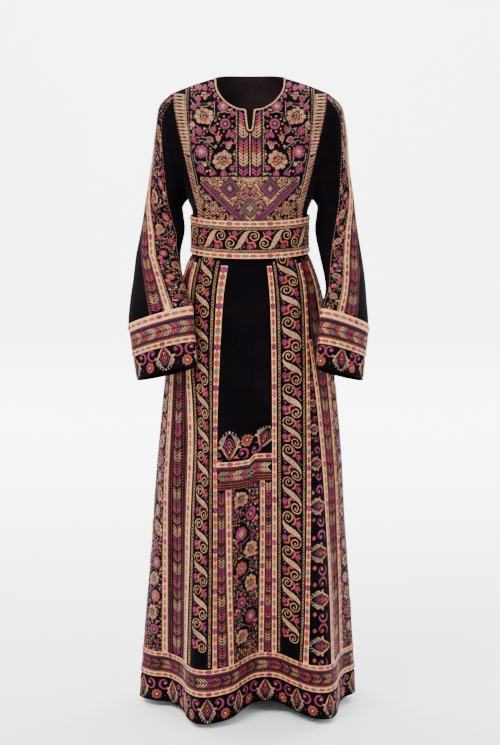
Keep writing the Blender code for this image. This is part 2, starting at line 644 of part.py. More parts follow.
def surface_normals(half, outward_y):
    """Normals of a bodice half, pointing away from the body."""
    normals = np.nan_to_num(grid_normals(half))
    flip = np.sign(normals[1, 1, 1] * outward_y)
    return normals * flip


def front_surface_normals(front):
    """Panel and side columns apart, because they run together past the side's tip."""
    normals = surface_normals(front, -1.0)
    panel = surface_normals(front[:, :PANEL_STEPS + 1], -1.0)
    normals[:, :PANEL_STEPS] = panel[:, :-1]
    normals[SIDE_TIP_ROW:, PANEL_STEPS:] = panel[SIDE_TIP_ROW:, -1:]
    return normals


def mend_normals(front, front_normals, back, back_normals):
    """Share one normal along the shoulder seam and the side seam."""
    shoulder = slice(0, PANEL_STEPS + 1)
    back_shoulder = slice(NECK_STEPS, NECK_STEPS + PANEL_STEPS + 1)
    common = unit(front_normals[-1, shoulder] + back_normals[-1, back_shoulder])
    front_normals[-1, shoulder] = common
    front_normals[-1, PANEL_STEPS + 1:] = common[-1]
    back_normals[-1, back_shoulder] = common
    front_normals[:SIDE_SEAM_ROWS, -1] = (1.0, 0.0, 0.0)
    back_normals[:SIDE_SEAM_ROWS, -1] = (1.0, 0.0, 0.0)


def sleeve_rings(table):
    """Outer point, inner point, half depth and pitch of each ring, armhole first."""
    tip, pit = armhole_point(0.0), armhole_point(180.0)
    rings = [(tip, pit, ARMHOLE_DEPTH, 0.0)]
    for ring in table:
        rings.append((np.array(ring[0:3]), np.array(ring[3:6]), ring.depth, ring.pitch))
    return rings


def ring_point(ring, angle):
    outer, inner, depth, pitch = ring
    middle = (outer + inner) / 2.0
    half = (outer - inner) / 2.0
    tilt = math.radians(pitch)
    backward = np.array([0.0, math.cos(tilt), -math.sin(tilt)])
    turn = np.radians(angle)[..., None]
    return middle + half * np.cos(turn) - backward * depth * np.sin(turn)


def sleeve_columns(lines):
    """Angles of the sleeve's columns at its line rings; the armhole follows the bodice."""
    front = [row.armhole for row in FRONT_ROWS if row.armhole is not None]
    back = [-row.armhole for row in BACK_ROWS if row.armhole not in (None, 0, 180)]
    places = sorted(set(front + back))
    armpit = lines[-1]
    knots = [armpit.armhole - 360] + [line.armhole for line in lines]
    columns = []
    for place in places:
        track = [-180.0 if place == 180 else float(place)]
        for station in range(2, len(SLEEVE_LINE_RINGS) + 1):
            targets = [armpit[station] - 360] + [line[station] for line in lines]
            track.append(float(np.interp(track[0], knots, targets)))
        columns.append(track)
    columns.sort(key=lambda track: track[0])
    starts = [track[0] for track in columns]
    found = {line.name: starts.index(line.armhole) for line in lines[:-1]}
    return np.array(columns), found


def sleeve_grid(table, lines):
    """Points and normals of a sleeve, its places on the armhole, and the lines' columns."""
    rings = sleeve_rings(table)
    columns, found = sleeve_columns(lines)
    rows = []
    for number, ring in enumerate(rings):
        angles = np.array([np.interp(number, SLEEVE_LINE_RINGS, track) for track in columns])
        rows.append(ring_point(ring, angles))
    points = np.array(rows)
    normals = grid_normals(points, closed_columns=True)
    middle = len(points) // 2
    outward = points[middle] - points[middle].mean(axis=0)
    if np.sum(normals[middle] * outward) < 0:
        normals = -normals
    return points, normals, [track[0] for track in columns], found


def seam_normal(body_normal, body_inside, sleeve_normal):
    """Shared normal where the two cloths meet in a ridge, else the body's own one."""
    facing = -np.sum(unit(body_inside) * sleeve_normal, axis=-1)
    ridge = smoothstep(RIDGE_FROM, RIDGE_TO, facing)
    both = unit(body_normal + sleeve_normal)
    weight = ridge[..., None]
    return unit(body_normal * (1 - weight) + both * weight), \
        unit(sleeve_normal * (1 - weight) + both * weight)


def share_front_armhole(front, own, sleeve_normals, places):
    """Give the front and the sleeve one normal where they meet in a ridge."""
    for number, row in enumerate(FRONT_ROWS):
        if row.armhole is None:
            continue
        column = places.index(-180 if row.armhole == 180 else row.armhole)
        sleeve = sleeve_normals[0, column]
        if row.armhole == 0:
            tip = unit(own[number, -1] + sleeve)
            own[number, PANEL_STEPS] = own[number, -1] = sleeve_normals[0, column] = tip
            continue
        edge = PANEL_STEPS if number >= SIDE_TIP_ROW else -1
        inside = front[number, edge - 1] - front[number, -1]
        body, sleeve_normals[0, column] = seam_normal(own[number, -1], inside, sleeve)
        if row.armhole != 180:
            own[number, edge] = body


def share_back_armhole(back, own, sleeve_normals, places):
    for number, row in enumerate(BACK_ROWS):
        if row.armhole in (None, 180):
            continue
        column = places.index(-row.armhole)
        sleeve = sleeve_normals[0, column]
        if row.armhole == 0:
            own[number, -1] = sleeve
            continue
        inside = back[number, -2] - back[number, -1]
        own[number, -1], sleeve_normals[0, column] = seam_normal(own[number, -1], inside,
                                                                 sleeve)


def add_bodice_and_sleeves():
    front, back = front_half(), back_half()
    front_normals = front_surface_normals(front)
    back_normals = surface_normals(back, 1.0)
    mend_normals(front, front_normals, back, back_normals)
    sleeves = {}
    for side, table, lines in (("left", LEFT_SLEEVE, LEFT_SLEEVE_LINES),
                               ("right", RIGHT_SLEEVE, RIGHT_SLEEVE_LINES)):
        sleeves[side] = sleeve_grid(table, lines)
    front_sides = {"left": front_normals.copy(), "right": front_normals.copy()}
    back_sides = {"left": back_normals.copy(), "right": back_normals.copy()}
    for side, (points, normals, places, lines) in sleeves.items():
        share_front_armhole(front, front_sides[side], normals, places)
        share_back_armhole(back, back_sides[side], normals, places)
    add_front(front, front_sides)
    add_back(back, back_sides)
    add_piping(front, front_sides, back, back_sides)
    for side, (points, normals, places, lines) in sleeves.items():
        add_sleeve_cloth(side, points, normals, lines)


def two_halves(points, normals, rows, columns):
    """Join the mirrored left half to the right half of a front or back panel."""
    left_points = (points[rows, columns] * MIRROR)[:, ::-1]
    left_normals = (normals["left"][rows, columns] * MIRROR)[:, ::-1]
    both = np.concatenate([left_points, points[rows, columns]], axis=1)
    both_normals = np.concatenate([left_normals, normals["right"][rows, columns]], axis=1)
    return both, both_normals


def add_front(front, normals):
    panel = slice(0, PANEL_STEPS + 1)
    for name, rows, tone in (("waist_panel", slice(0, YOKE_ROW + 1), PANEL_TONE),
                             ("chest_panel", slice(YOKE_ROW, len(FRONT_ROWS)), PANEL_TONE)):
        points, outward = two_halves(front, normals, rows, panel)
        middle = PANEL_STEPS
        outer = with_gaps(points)
        outer[:, middle] = points[:, middle]
        outer[:, middle + 1] = points[:, middle + 1]
        for column in (middle, middle + 1):
            outer[0, column] += unit(points[1, column] - points[0, column]) * SEAM_GAP / 2
            outer[-1, column] += unit(points[-2, column] - points[-1, column]) * SEAM_GAP / 2
        closed_rows = SLIT_ROW - rows.start if name == "chest_panel" else len(points)
        for row in range(min(closed_rows + 1, len(points))):
            outward[row, middle] = outward[row, middle + 1] = unit(
                (outward[row, middle] + outward[row, middle + 1]) * np.array([0.0, 1.0, 1.0]))
        add_wall(name, outer, outer - outward * CLOTH, tone,
                 keep_cell=lambda r, c: c != middle)
    add_side_pieces(front, normals)


def add_side_pieces(front, normals):
    columns = slice(PANEL_STEPS, PANEL_STEPS + SIDE_STEPS + 1)
    rows = slice(0, SIDE_TIP_ROW + 1)
    for side, sign in (("left", -1.0), ("right", 1.0)):
        points = front[rows, columns].copy()
        outward = normals[side][rows, columns].copy()
        points[-1] = (points[-2].mean(axis=0) * (1.0 - SIDE_TIP_SHARE)
                      + points[-1].mean(axis=0) * SIDE_TIP_SHARE)
        outward[-1] = unit(outward[-1].mean(axis=0))
        outer = with_gaps(points, bottom=False)
        outer[-1] = points[-1]
        mirror = np.array([sign, 1.0, 1.0])
        add_wall("bodice_side_" + side, outer * mirror, (outer - outward * CLOTH) * mirror,
                 BACK_TONE)


def add_back(back, normals):
    columns = slice(0, back.shape[1])
    points, outward = two_halves(back, normals, slice(0, back.shape[0]), columns)
    middle = back.shape[1] - 1
    keep = [c for c in range(points.shape[1]) if c != middle]
    outward[:, middle + 1] = unit((outward[:, middle] + outward[:, middle + 1])
                                  * np.array([0.0, 1.0, 1.0]))
    points, outward = points[:, keep], outward[:, keep]
    outer = with_gaps(points)
    add_wall("bodice_back", outer, outer - outward * CLOTH, BACK_TONE)


def add_piping(front, front_normals, back, back_normals):
    """Round piping sewn along the neckline and the slit, one closed loop."""
    neck = SLIT_ROW
    stations = []
    for number in range(neck, len(FRONT_ROWS)):
        point = front[number, 0]
        away = unit(front[number, 0] - front[number, 1])
        if number == neck:
            away = unit((front[NECK_ROW, 0] - point) * np.array([0.0, 1.0, 1.0]))
        stations.append((point, away, front_normals["right"][number, 0]))
    last = len(BACK_ROWS) - 1
    for column in range(NECK_STEPS, -1, -1):
        point = back[last, column]
        away = unit(point - back[last - 1, column])
        normal = back_normals["right"][last, column]
        if column == NECK_STEPS:
            away = unit(away + stations[-1][1])
            stations.pop()
        stations.append((point, away, normal))
    right = list(stations)
    for index in range(1, len(right) - 1):
        before = unit(right[index][0] - right[index - 1][0])
        after = unit(right[index + 1][0] - right[index][0])
        along = unit(before + after)
        point, away, normal = right[index]
        side = unit(np.cross(along, normal))
        side = side * np.sign(np.dot(side, away))
        mitre = math.sqrt((1 + np.dot(before, after)) / 2)
        stretch = 1.0 / max(mitre, SHARPEST_MITRE)
        right[index] = (point, side * stretch, normal)
    left = [(p * MIRROR, a * MIRROR, n * MIRROR) for p, a, n in right[1:-1]]
    path = right + left[::-1]
    sides = PIPING_SIDES
    rings = []
    reach = PIPING_RADIUS + SEAM_GAP * 1.5
    for point, away, normal in path:
        centre = point + away * reach - normal * CLOTH / 2
        ring = []
        for k in range(sides):
            turn = 2 * math.pi * k / sides
            ring.append(centre + PIPING_RADIUS * (math.cos(turn) * away
                                                  + math.sin(turn) * normal))
        rings.append(ring)
    count = len(rings)
    points = np.array(rings).reshape(-1, 3)
    faces = []
    for i in range(count):
        for k in range(sides):
            a, b = i * sides + k, i * sides + (k + 1) % sides
            c, d = ((i + 1) % count) * sides + (k + 1) % sides, ((i + 1) % count) * sides + k
            faces.append([a, b, c, d])
    if signed_volume(points, faces) < 0:
        faces = [face[::-1] for face in faces]
    add_mesh("neck_piping", points, faces, PIPING_TONE)


# ================================================================ sleeves
def sleeve_tape(cloth, normals, lines, mirror):
    """Points and normals of the tape that runs down a sleeve's panel."""
    rows = slice(SLEEVE_TAPE_RING, CUFF_RING + 1)
    columns = slice(lines["tape_back"], lines["tape_front"] + 1)
    return with_gaps(cloth[rows, columns]) * mirror, normals[rows, columns] * mirror


def add_sleeve_cloth(side, points, normals, lines):
    """Embroidered panel, velvet panel, cuff and tapes of one sleeve."""
    sign = -1.0 if side == "left" else 1.0
    mirror = np.array([sign, 1.0, 1.0])
    outward_ring = unit(np.array([ARMHOLE_RISE, 0.0, -ARMHOLE_LEAN]))
    cloth = points.copy()
    cloth[0] += outward_ring * SEAM_GAP
    total = cloth.shape[1]
    rows = slice(0, CUFF_RING + 1)
    first, last = lines["back"], lines["front"]
    panel = list(range(first, last + 1))
    velvet = list(range(last, total)) + list(range(0, first + 1))
    for name, columns, tone in (("sleeve_panel_", panel, PANEL_TONE),
                                ("sleeve_velvet_", velvet, BACK_TONE)):
        outer = with_gaps(cloth[rows][:, columns], top=False)
        inner = outer - normals[rows][:, columns] * CLOTH
        add_wall(name + side, outer * mirror, inner * mirror, tone)
    lay_on("tape_sleeve_" + side, *sleeve_tape(cloth, normals, lines, mirror), TAPE_CLOTH,
           TAPE_TONE)
    cuff_rows = slice(CUFF_RING, len(points))
    cuff = with_gaps(cloth[cuff_rows], bottom=False, sides=False)
    add_wall("cuff_" + side, cuff * mirror, (cuff - normals[cuff_rows] * CLOTH) * mirror,
             BAND_TONE, closed_columns=True)
    for name, (top, bottom) in zip(("tape_cuff_top_", "tape_cuff_lower_"), CUFF_TAPE_RINGS):
        rows = slice(top, bottom + 1)
        strip = with_gaps(cloth[rows], sides=False)
        low = strip + normals[rows] * SEAM_GAP
        high = strip + normals[rows] * (SEAM_GAP + TAPE_CLOTH)
        add_wall(name + side, high * mirror, low * mirror, TAPE_TONE, closed_columns=True)


# ================================================================ belt
def belt_point(angle, height):
    """Outer face of the belt; height 0 to 1 from its lower to its upper edge."""
    turn = np.radians(angle)
    lap = BELT_LAP_RISE * smoothstep(BELT_LAP_FROM, BELT_LAP_FULL, angle)
    depth = np.where(np.cos(turn) > 0, BELT_FRONT, BELT_BACK) + lap
    level = BELT_BOTTOM + BELT_HEIGHT * height - belt_dip(angle)
    return np.stack([(BELT_HALF_WIDTH + lap) * np.sin(turn), -depth * np.cos(turn),
                     level + 0 * turn], axis=-1)


def add_belt():
    angles = np.linspace(BELT_START, BELT_END, BELT_STEPS + 1)
    tape = BELT_TAPE / BELT_HEIGHT
    heights = (1.0, 1.0 - tape, 0.5, tape, 0.0)
    points = np.array([belt_point(angles, height) for height in heights])
    normals = grid_normals(points)
    add_wall("belt", points, points - normals * BELT_CLOTH, BAND_TONE)
    lay_on("tape_belt_top", points[0:2], normals[0:2], TAPE_CLOTH, TAPE_TONE)
    lay_on("tape_belt_bottom", points[3:5], normals[3:5], TAPE_CLOTH, TAPE_TONE)


def main():
    for thing in list(bpy.data.objects):
        bpy.data.objects.remove(thing, do_unlink=True)
    add_skirt()
    add_bodice_and_sleeves()
    add_belt()


main()
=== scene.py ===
"""Looks of the Palestinian thobe: cloth, couched embroidery, tapes, light and camera.

Frame: metres, +Z up, the front faces -Y, the origin is between the shoulders. The tables
give heights above the hem, and everything is lowered by SHOULDER_HEIGHT when it is placed.
Angles round the body are in degrees: 0 at the front centre, +90 at +X.
"""

import json
import math
import random
from collections import defaultdict, namedtuple

import bpy
import numpy as np
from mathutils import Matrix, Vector
from mathutils.bvhtree import BVHTree

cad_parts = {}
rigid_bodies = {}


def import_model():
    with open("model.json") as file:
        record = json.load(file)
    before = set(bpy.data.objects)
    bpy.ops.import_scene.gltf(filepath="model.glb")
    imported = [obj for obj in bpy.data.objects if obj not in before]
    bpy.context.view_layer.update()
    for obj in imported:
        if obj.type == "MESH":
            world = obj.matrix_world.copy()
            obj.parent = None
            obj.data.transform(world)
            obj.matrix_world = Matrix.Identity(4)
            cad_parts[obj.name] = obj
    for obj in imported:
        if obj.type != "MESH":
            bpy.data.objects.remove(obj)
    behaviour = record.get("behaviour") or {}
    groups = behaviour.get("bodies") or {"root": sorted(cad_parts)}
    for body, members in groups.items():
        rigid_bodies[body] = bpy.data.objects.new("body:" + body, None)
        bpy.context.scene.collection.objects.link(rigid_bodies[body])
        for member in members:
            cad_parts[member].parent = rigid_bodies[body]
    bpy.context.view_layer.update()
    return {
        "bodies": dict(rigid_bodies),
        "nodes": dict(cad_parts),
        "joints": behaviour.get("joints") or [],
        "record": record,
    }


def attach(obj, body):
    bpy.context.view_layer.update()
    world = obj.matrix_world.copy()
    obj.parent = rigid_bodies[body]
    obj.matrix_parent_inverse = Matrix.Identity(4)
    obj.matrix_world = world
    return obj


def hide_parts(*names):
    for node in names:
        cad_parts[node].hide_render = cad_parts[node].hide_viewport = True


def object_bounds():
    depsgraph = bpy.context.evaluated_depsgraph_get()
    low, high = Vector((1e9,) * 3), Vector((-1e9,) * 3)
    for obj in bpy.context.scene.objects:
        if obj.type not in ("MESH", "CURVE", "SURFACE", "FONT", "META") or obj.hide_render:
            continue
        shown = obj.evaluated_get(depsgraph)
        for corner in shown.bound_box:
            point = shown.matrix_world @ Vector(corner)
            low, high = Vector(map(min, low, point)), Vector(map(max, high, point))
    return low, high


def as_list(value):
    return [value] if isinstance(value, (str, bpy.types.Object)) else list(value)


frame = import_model()

# ---------------------------------------------------------------- driving sizes
SHOULDER_HEIGHT = 1.400   # origin above the hem
CLOTH, BELT_CLOTH, TAPE_CLOTH = 0.0018, 0.0024, 0.0012
SEAM_GAP, SEAM_LAP = 0.0003, 0.003
LAP_DEPTH = 1.3           # how far a lap lies under, in thicknesses of cloth
TAPE_LIFT = 0.0004        # the tape's own cloth starts this far above the panel
SELVEDGE_DROP = 0.45      # share of a tape's thickness by which its edges are lower
THREAD_LIFT = 0.00025     # threads start this far above the cloth
THREAD_ROUND = 0.36       # height of a thread as a share of its width
THREAD_HIGHEST = 0.0010
LAYER = 0.00035           # threads over threads
CORD_TIP = 0.15           # width of a cord's ends as a share of its full width
STITCH_TAPER = 0.22       # share of a stitch over which each of its ends narrows
DOT_SIDES, DOT_HEIGHT = 7, 0.8    # corners of a knot, and its height as a share of its radius
CLOTH_CELL = 0.0065       # mesh size of the cloth
SHARP_EDGE = 50           # degrees: a sharper bend than this is shaded as an edge
SKIRT_RADIUS, SLEEVE_RADIUS = 0.215, 0.052    # typical ones, to turn degrees into lengths
SKIRT_PROBE, SLEEVE_PROBE = (0.3, 0.0015), (0.5, 0.0008)  # steps by which normals are found
MAP_SIDE, MAP_FILL = 0.49, 0.98   # shares of a map for one side of a cloth, and for a chart
NARROWEST_SHEET = 0.01    # smallest flat size that is counted
LEAST_AREA = 0.3          # and smallest area, as a share of that size
TAPE_COLUMNS, CUFF_COLUMNS, BELT_COLUMNS = 4, 60, 150
SLEEVE_PANEL_COLUMNS, SLEEVE_VELVET_COLUMNS = 24, 34
TAPE_ROW = 0.0029
SLIT_CORNER = 0.0125      # the neck's own edge is followed beyond this X
# X and height of the slit's edge, in millimetres, from its foot to the neck.
SLIT_CORD = ((0, 1309.5), (3.0, 1310.2), (5.2, 1312.5), (6.4, 1317), (7.6, 1328), (9.0, 1341),
             (9.9, 1350.5), (11.2, 1354.5))
SLIT_CORD_LIFT = 0.0006
CORD_EASING = 4           # rounds in which a cord's corners are eased
PIPING_RADIUS, BINDING_RADIUS = 0.0018, 0.0016
PIPING_STEP = 0.0010
PIPING_SIDES = 9
PIPING_TWIST = 0.14       # how far its three strands stand out
PIPING_LAY = 0.0012       # length along the cord for one radian of twist
FLOOR_GAP = 0.012         # between the lowest point of the hem and the floor

# ---------------------------------------------------------------- skirt tables
# Level in metres; half width, front and back depth in millimetres.
SKIRT_RINGS = np.array((
    (1.06, 127, 104, 94), (1.043, 128.5, 105.5, 96), (1.026, 136, 111, 102),
    (.985, 151, 116, 108), (.93, 164, 121, 118), (.85, 177, 127, 132), (.74, 190, 133, 147),
    (.59, 204, 141, 164), (.43, 217, 147, 179), (.23, 233, 152, 192), (0, 250, 155, 200)
)) / (1, 1000, 1000, 1000)
WAIST = SKIRT_RINGS[0, 0]
# Folds: angle; where each crest or hollow of the cloth reaches the hem, in plan, and how
# far the hem is lifted there, in millimetres; the level where the fold starts, in metres.
FOLDS = np.array((
    (-180, 4, 186, 4, .7), (-163, -74, 214, 0, .9), (-146, -128, 156, 6, .6),
    (-130, -190, 166, 0, .8), (-114, -222, 104, 5, .6), (-99, -250, 80, 1, .8),
    (-85, -256, 34, 2, .7), (-72, -224, -4, 3, .55), (-62, -187, -14, 3, .55),
    (-55, -166, -42, 2, .6), (-49, -151, -78, 0, .7), (-43, -142, -128, 0, .8),
    (-37, -124, -168, 0, .9), (-30, -100, -178, 0, .95), (-20, -68, -167, 2, .95),
    (-10, -36, -143, 7, .95), (-3, -14, -103, 13, .95), (3, 6, -76, 18, .95),
    (10, 34, -66, 20, .95), (17, 64, -70, 18, .95), (26, 100, -106, 10, .9),
    (34, 134, -138, 4, .85), (42, 165, -148, 2, .85), (50, 188, -126, 0, .75),
    (57, 199, -86, 1, .65), (64, 204, -38, 4, .55), (71, 215, 0, 7, .55), (81, 238, 30, 8, .6),
    (91, 247, 66, 6, .7), (104, 228, 110, 4, .7), (118, 224, 172, 0, .85), (134, 158, 154, 6, .6),
    (150, 106, 208, 0, .85), (165, 52, 184, 5, .6), (180, 4, 186, 4, .7)
)) / (1, 1000, 1000, 1000, 1)
FOLD_GROWTH = 1.35        # folds deepen with this power towards the hem
FOLD_DEEPEST = 1.3
# Strips of the skirt: the angle where each one starts at five levels.
STRIP_LEVELS = (1.060, 0.860, 0.720, 0.400, 0.000)
STRIPS = {
    "back_left": (-180, -180, -180, -180, -180), "floral_left": (-112, -110, -108, -105, -100),
    "tape_side_left": (-84, -74, -69.7, -65.5, -66),
    "chevron_left": (-80, -69.5, -64.5, -61, -62.5),
    "tape_outer_left": (-68, -54, -46.5, -45, -48.5),
    "scroll_left": (-62.3, -50, -42.4, -41.2, -44.5),
    "tape_inner_left": (-27.8, -26.5, -25.7, -24.6, -25),
    "chevron_mid_left": (-20.6, -21.5, -22.5, -22, -22.2),
    "tape_mid_left": (-16, -16, -16.5, -15.5, -12.5),
    "floral_mid": (-12, -12.4, -12.8, -12, -9.6), "tape_mid_right": (7, 7, 7, 7.2, 6.2),
    "chevron_mid_right": (10.4, 9.9, 9.7, 9.8, 8.6),
    "tape_inner_right": (16, 15.5, 15.1, 14.4, 13.4), "scroll_right": (20.5, 19, 18.1, 17, 16),
    "tape_outer_right": (53.3, 44.5, 40.8, 35.6, 29.5), "wedge": (57, 47.4, 43.4, 38.2, 32.2),
    "tape_wedge_right": (57, 47.4, 49.8, 52.4, 49), "chevron_right": (59.5, 50.4, 53.4, 56.2, 52),
    "tape_side_right": (70, 66, 66.5, 66, 67), "floral_right": (74, 70, 69.9, 69, 70.5),
    "back_right": (110, 108, 107, 104, 100)}
WEDGE_TIP = 0.850         # level where the let-in wedge begins
WEDGE_SEWN_TIP = 0.820    # and where its embroidery does
BAND_TOP, BAND_TAPE, BAND_LOWER_TAPE, BAND_BOTTOM = 0.583, 0.572, 0.531, 0.520
BORDER_TOP = 0.1215
HEM_TAPES = (("tape_hem_top", BORDER_TOP, 0.1120), ("tape_hem_lower", 0.0725, 0.0610))
HEM_MIDDLE = 0.06         # level at which the hem is measured round
TAPE_START = 1.026        # tapes come out just under the belt
LANE_TOP = 1.038          # and embroidery starts behind it
SKIRT_TAPES = {
    "tape_side_left": TAPE_START, "tape_outer_left": TAPE_START,
    "tape_inner_left": TAPE_START, "tape_mid_left": BAND_BOTTOM, "tape_mid_right": BAND_BOTTOM,
    "tape_inner_right": TAPE_START, "tape_outer_right": TAPE_START,
    "tape_wedge_right": WEDGE_TIP, "tape_side_right": TAPE_START}
BAND_STEP = 0.012         # the cross band sits higher right of the middle pleat
BAND_STEP_RISE = (-1.0, 4.0)      # the step rises between these two angles
BAND_STEP_FALL = (40.0, 24.0)     # and is gone again between these two
BAND_STEP_REACH = 0.14    # levels over which the step fades out
BAND_STEP_FULL = 0.6      # share of that reach over which it still grows

# ---------------------------------------------------------------- bodice tables
# The armhole is an oval that stands in an upright plane from armpit to shoulder tip.
ARMHOLE_X, ARMHOLE_Z, ARMHOLE_LEAN = 0.156, 1.273, 0.017
ARMHOLE_RISE, ARMHOLE_DEPTH = 0.118, 0.070
NECK_HALF_WIDTH = 0.0785
NECK_TOP, NECK_BOTTOM = 1.425, 1.352
NECK_BACK_Y, NECK_BACK_Z = 0.060, 1.428
SHOULDER_NECK = 0.435     # where the neck meets the shoulder seam, as a share of the row
SLIT_HALF_WIDTH = 0.0105
ROW_FALL = 1.6            # how the rows drop from the centre to the armhole
NECK_SEARCH_STEPS = 12    # rounds of the search for a row's start on the neckline
NECK_SEARCH_STEP = 0.01

# A row goes from the centre to its edge: the side seam's (X, height), or an angle round the
# armhole (180 armpit, 0 shoulder tip). "turn" is how far the row has bent round the body
# there, and "panel" is the embroidered share of it.
BodiceRow = namedtuple("BodiceRow", "edge centre_y centre_z turn panel")
FRONT_ROWS = [BodiceRow(*row) for row in (
    ((.127, 1.06), -.104, 1.06, 90, .66), ((.128, 1.1), -.1055, 1.094, 90, .66),
    ((.1295, 1.13), -.108, 1.118, 90, .65), (180, -.118, 1.148, 90, .66),
    (165, -.1215, 1.17, 86, .71), (148, -.1245, 1.191, 80, .76), (130, -.1262, 1.212, 73, .83),
    (112, -.125, 1.241, 65, .91), (95, -.1195, 1.276, 58, 1), (80, -.1095, 1.309, 51, 1),
    (76, -.107, 1.315, 49, 1), (64, -.096, 1.334, 45, 1), (50, -.0835, 1.352, 40, 1),
    (45, -.08, 1.357, 38, 1), (38, -.072, 1.368, 35, 1), (27, -.056, 1.388, 31, 1),
    (14, -.033, 1.409, 27, 1), (0, 0, 1.437, 24, 1))]
BACK_ROWS = [BodiceRow(*row) for row in (
    ((.127, 1.06), .094, 1.06, 90, 1), ((.128, 1.1), .0955, 1.1, 90, 1),
    ((.1295, 1.13), .098, 1.13, 90, 1), (180, .106, 1.16, 90, 1), (155, .111, 1.196, 80, 1),
    (130, .115, 1.236, 70, 1), (105, .116, 1.28, 60, 1), (80, .113, 1.32, 52, 1),
    (55, .104, 1.358, 45, 1), (36, .093, 1.385, 38, 1), (20, .079, 1.406, 32, 1),
    (8, .067, 1.42, 28, 1), (0, 0, 1.437, 24, 1))]
YOKE_ROW = 6              # seam between the chest panel and the waist panel
SIDE_TIP_ROW = 8          # the plain side piece ends in a point here
SLIT_ROW = 9              # the neck slit starts here
SLIT_OPEN_ROW = 10
SLIT_ROUND = 0.82         # share of the slit's width that is reached at that row
NECK_ROW = 12             # the slit opens into the round neck here
HALF_WIDTHS = {"panel": 0.135, "side": 0.060, "back": 0.160}    # to set their columns

# ---------------------------------------------------------------- sleeve tables
# Each ring of a sleeve: outer point, inner point and half depth in millimetres, and the
# degrees by which its back edge is lowered. A ring for the armhole comes before these.
LEFT_SLEEVE = (
    (198, 0, 1367, 144, 0, 1149, 67, 0), (208, 0, 1314, 148, 0, 1143, 63, 0),
    (217, 0, 1243, 150, 0, 1136, 58, 0), (230, 0, 1172, 147.5, -5, 1117, 53, 2),
    (244, 0, 1090, 145, -15, 1086, 49, 4), (256, -5, 1030, 154, -35, 1036, 47, 7),
    (262, -20, 977, 148, -65, 987, 46, 10), (268, -36, 933, 139, -92, 956, 44, 13),
    (271, -55, 879, 126.5, -115, 926, 41, 15), (268, -60, 862, 125, -117, 908, 41, 15),
    (261.5, -67, 820, 122, -122, 862, 40, 16), (259, -69, 808, 121, -123.5, 849, 40, 16),
    (251, -80, 759, 116, -130, 797, 39, 16))
RIGHT_SLEEVE = (
    (200, 0, 1367, 144, 0, 1150, 67, 0), (213, 0, 1314, 148, 0, 1144, 63, 0),
    (219, 0, 1243, 150, 0, 1137, 58, 0), (230, 0, 1172, 147.5, -5, 1117, 53, 2),
    (241, 0, 1090, 145, -15, 1084, 49, 4), (251, -5, 1030, 155, -35, 1032, 46, 7),
    (258, -20, 977, 164, -65, 989, 44, 10), (261, -36, 933, 166, -92, 961, 42, 13),
    (264, -55, 879, 156, -115, 921, 39, 15), (263, -60, 861, 154.5, -117, 903, 39, 15),
    (258, -67, 820, 151, -122, 858, 38, 16), (256, -69, 808, 150, -123.5, 845, 38, 16),
    (251, -80, 759, 145, -130, 792, 37, 16))
CUFF_RING = 9             # the cuff starts at this ring, counted with the armhole as 0
CUFF_TAPE_RINGS = ((9, 10), (11, 12))
SLEEVE_TAPE_RING = 1      # the sleeve's tape starts at this ring, clear of the shoulder seam
# Lines along a sleeve: angle round the ring (0 outer, 90 front, 180 inner) at the armhole
# and at four of its rings. The embroidered panel lies between "back" and "front", and a
# tape runs down it between "tape_back" and "tape_front".
SLEEVE_LINE_RINGS = (0, 3, 5, 7, 13)
LEFT_SLEEVE_LINES = {
    "back": (-36, -30, 22, 58, 84), "tape_back": (-20, -2, 50, 87, 108),
    "tape_front": (-8, 14, 64, 98, 120), "front": (27, 84, 128, 172, 194),
    "armpit": (180, 180, 196, 218, 236)}
RIGHT_SLEEVE_LINES = {
    "back": (-36, -25, 20, 48, 74), "tape_back": (-20, 0, 51, 82, 106),
    "tape_front": (-8, 18, 65, 94, 118), "front": (27, 66, 98, 140, 178),
    "armpit": (180, 180, 190, 208, 228)}

# ---------------------------------------------------------------- belt
BELT_HALF_WIDTH, BELT_FRONT, BELT_BACK = 0.1323, 0.1118, 0.1013
BELT_BOTTOM, BELT_HEIGHT, BELT_TAPE = 1.043, 0.082, 0.012
BELT_DIP, BELT_DIP_POWER = 0.012, 1.5         # the belt sinks at the front centre
BELT_START, BELT_END = -172, 196              # its outer end laps over the inner one
BELT_LAP_TURN = (150, 182)                    # the lap rises clear between these angles
BELT_LAP_RISE = 0.0052
BELT_WAVES = ((3.0, 0.4, 0.0009), (7.0, 1.9, 0.0006), (13.0, 0.2, 0.0004))

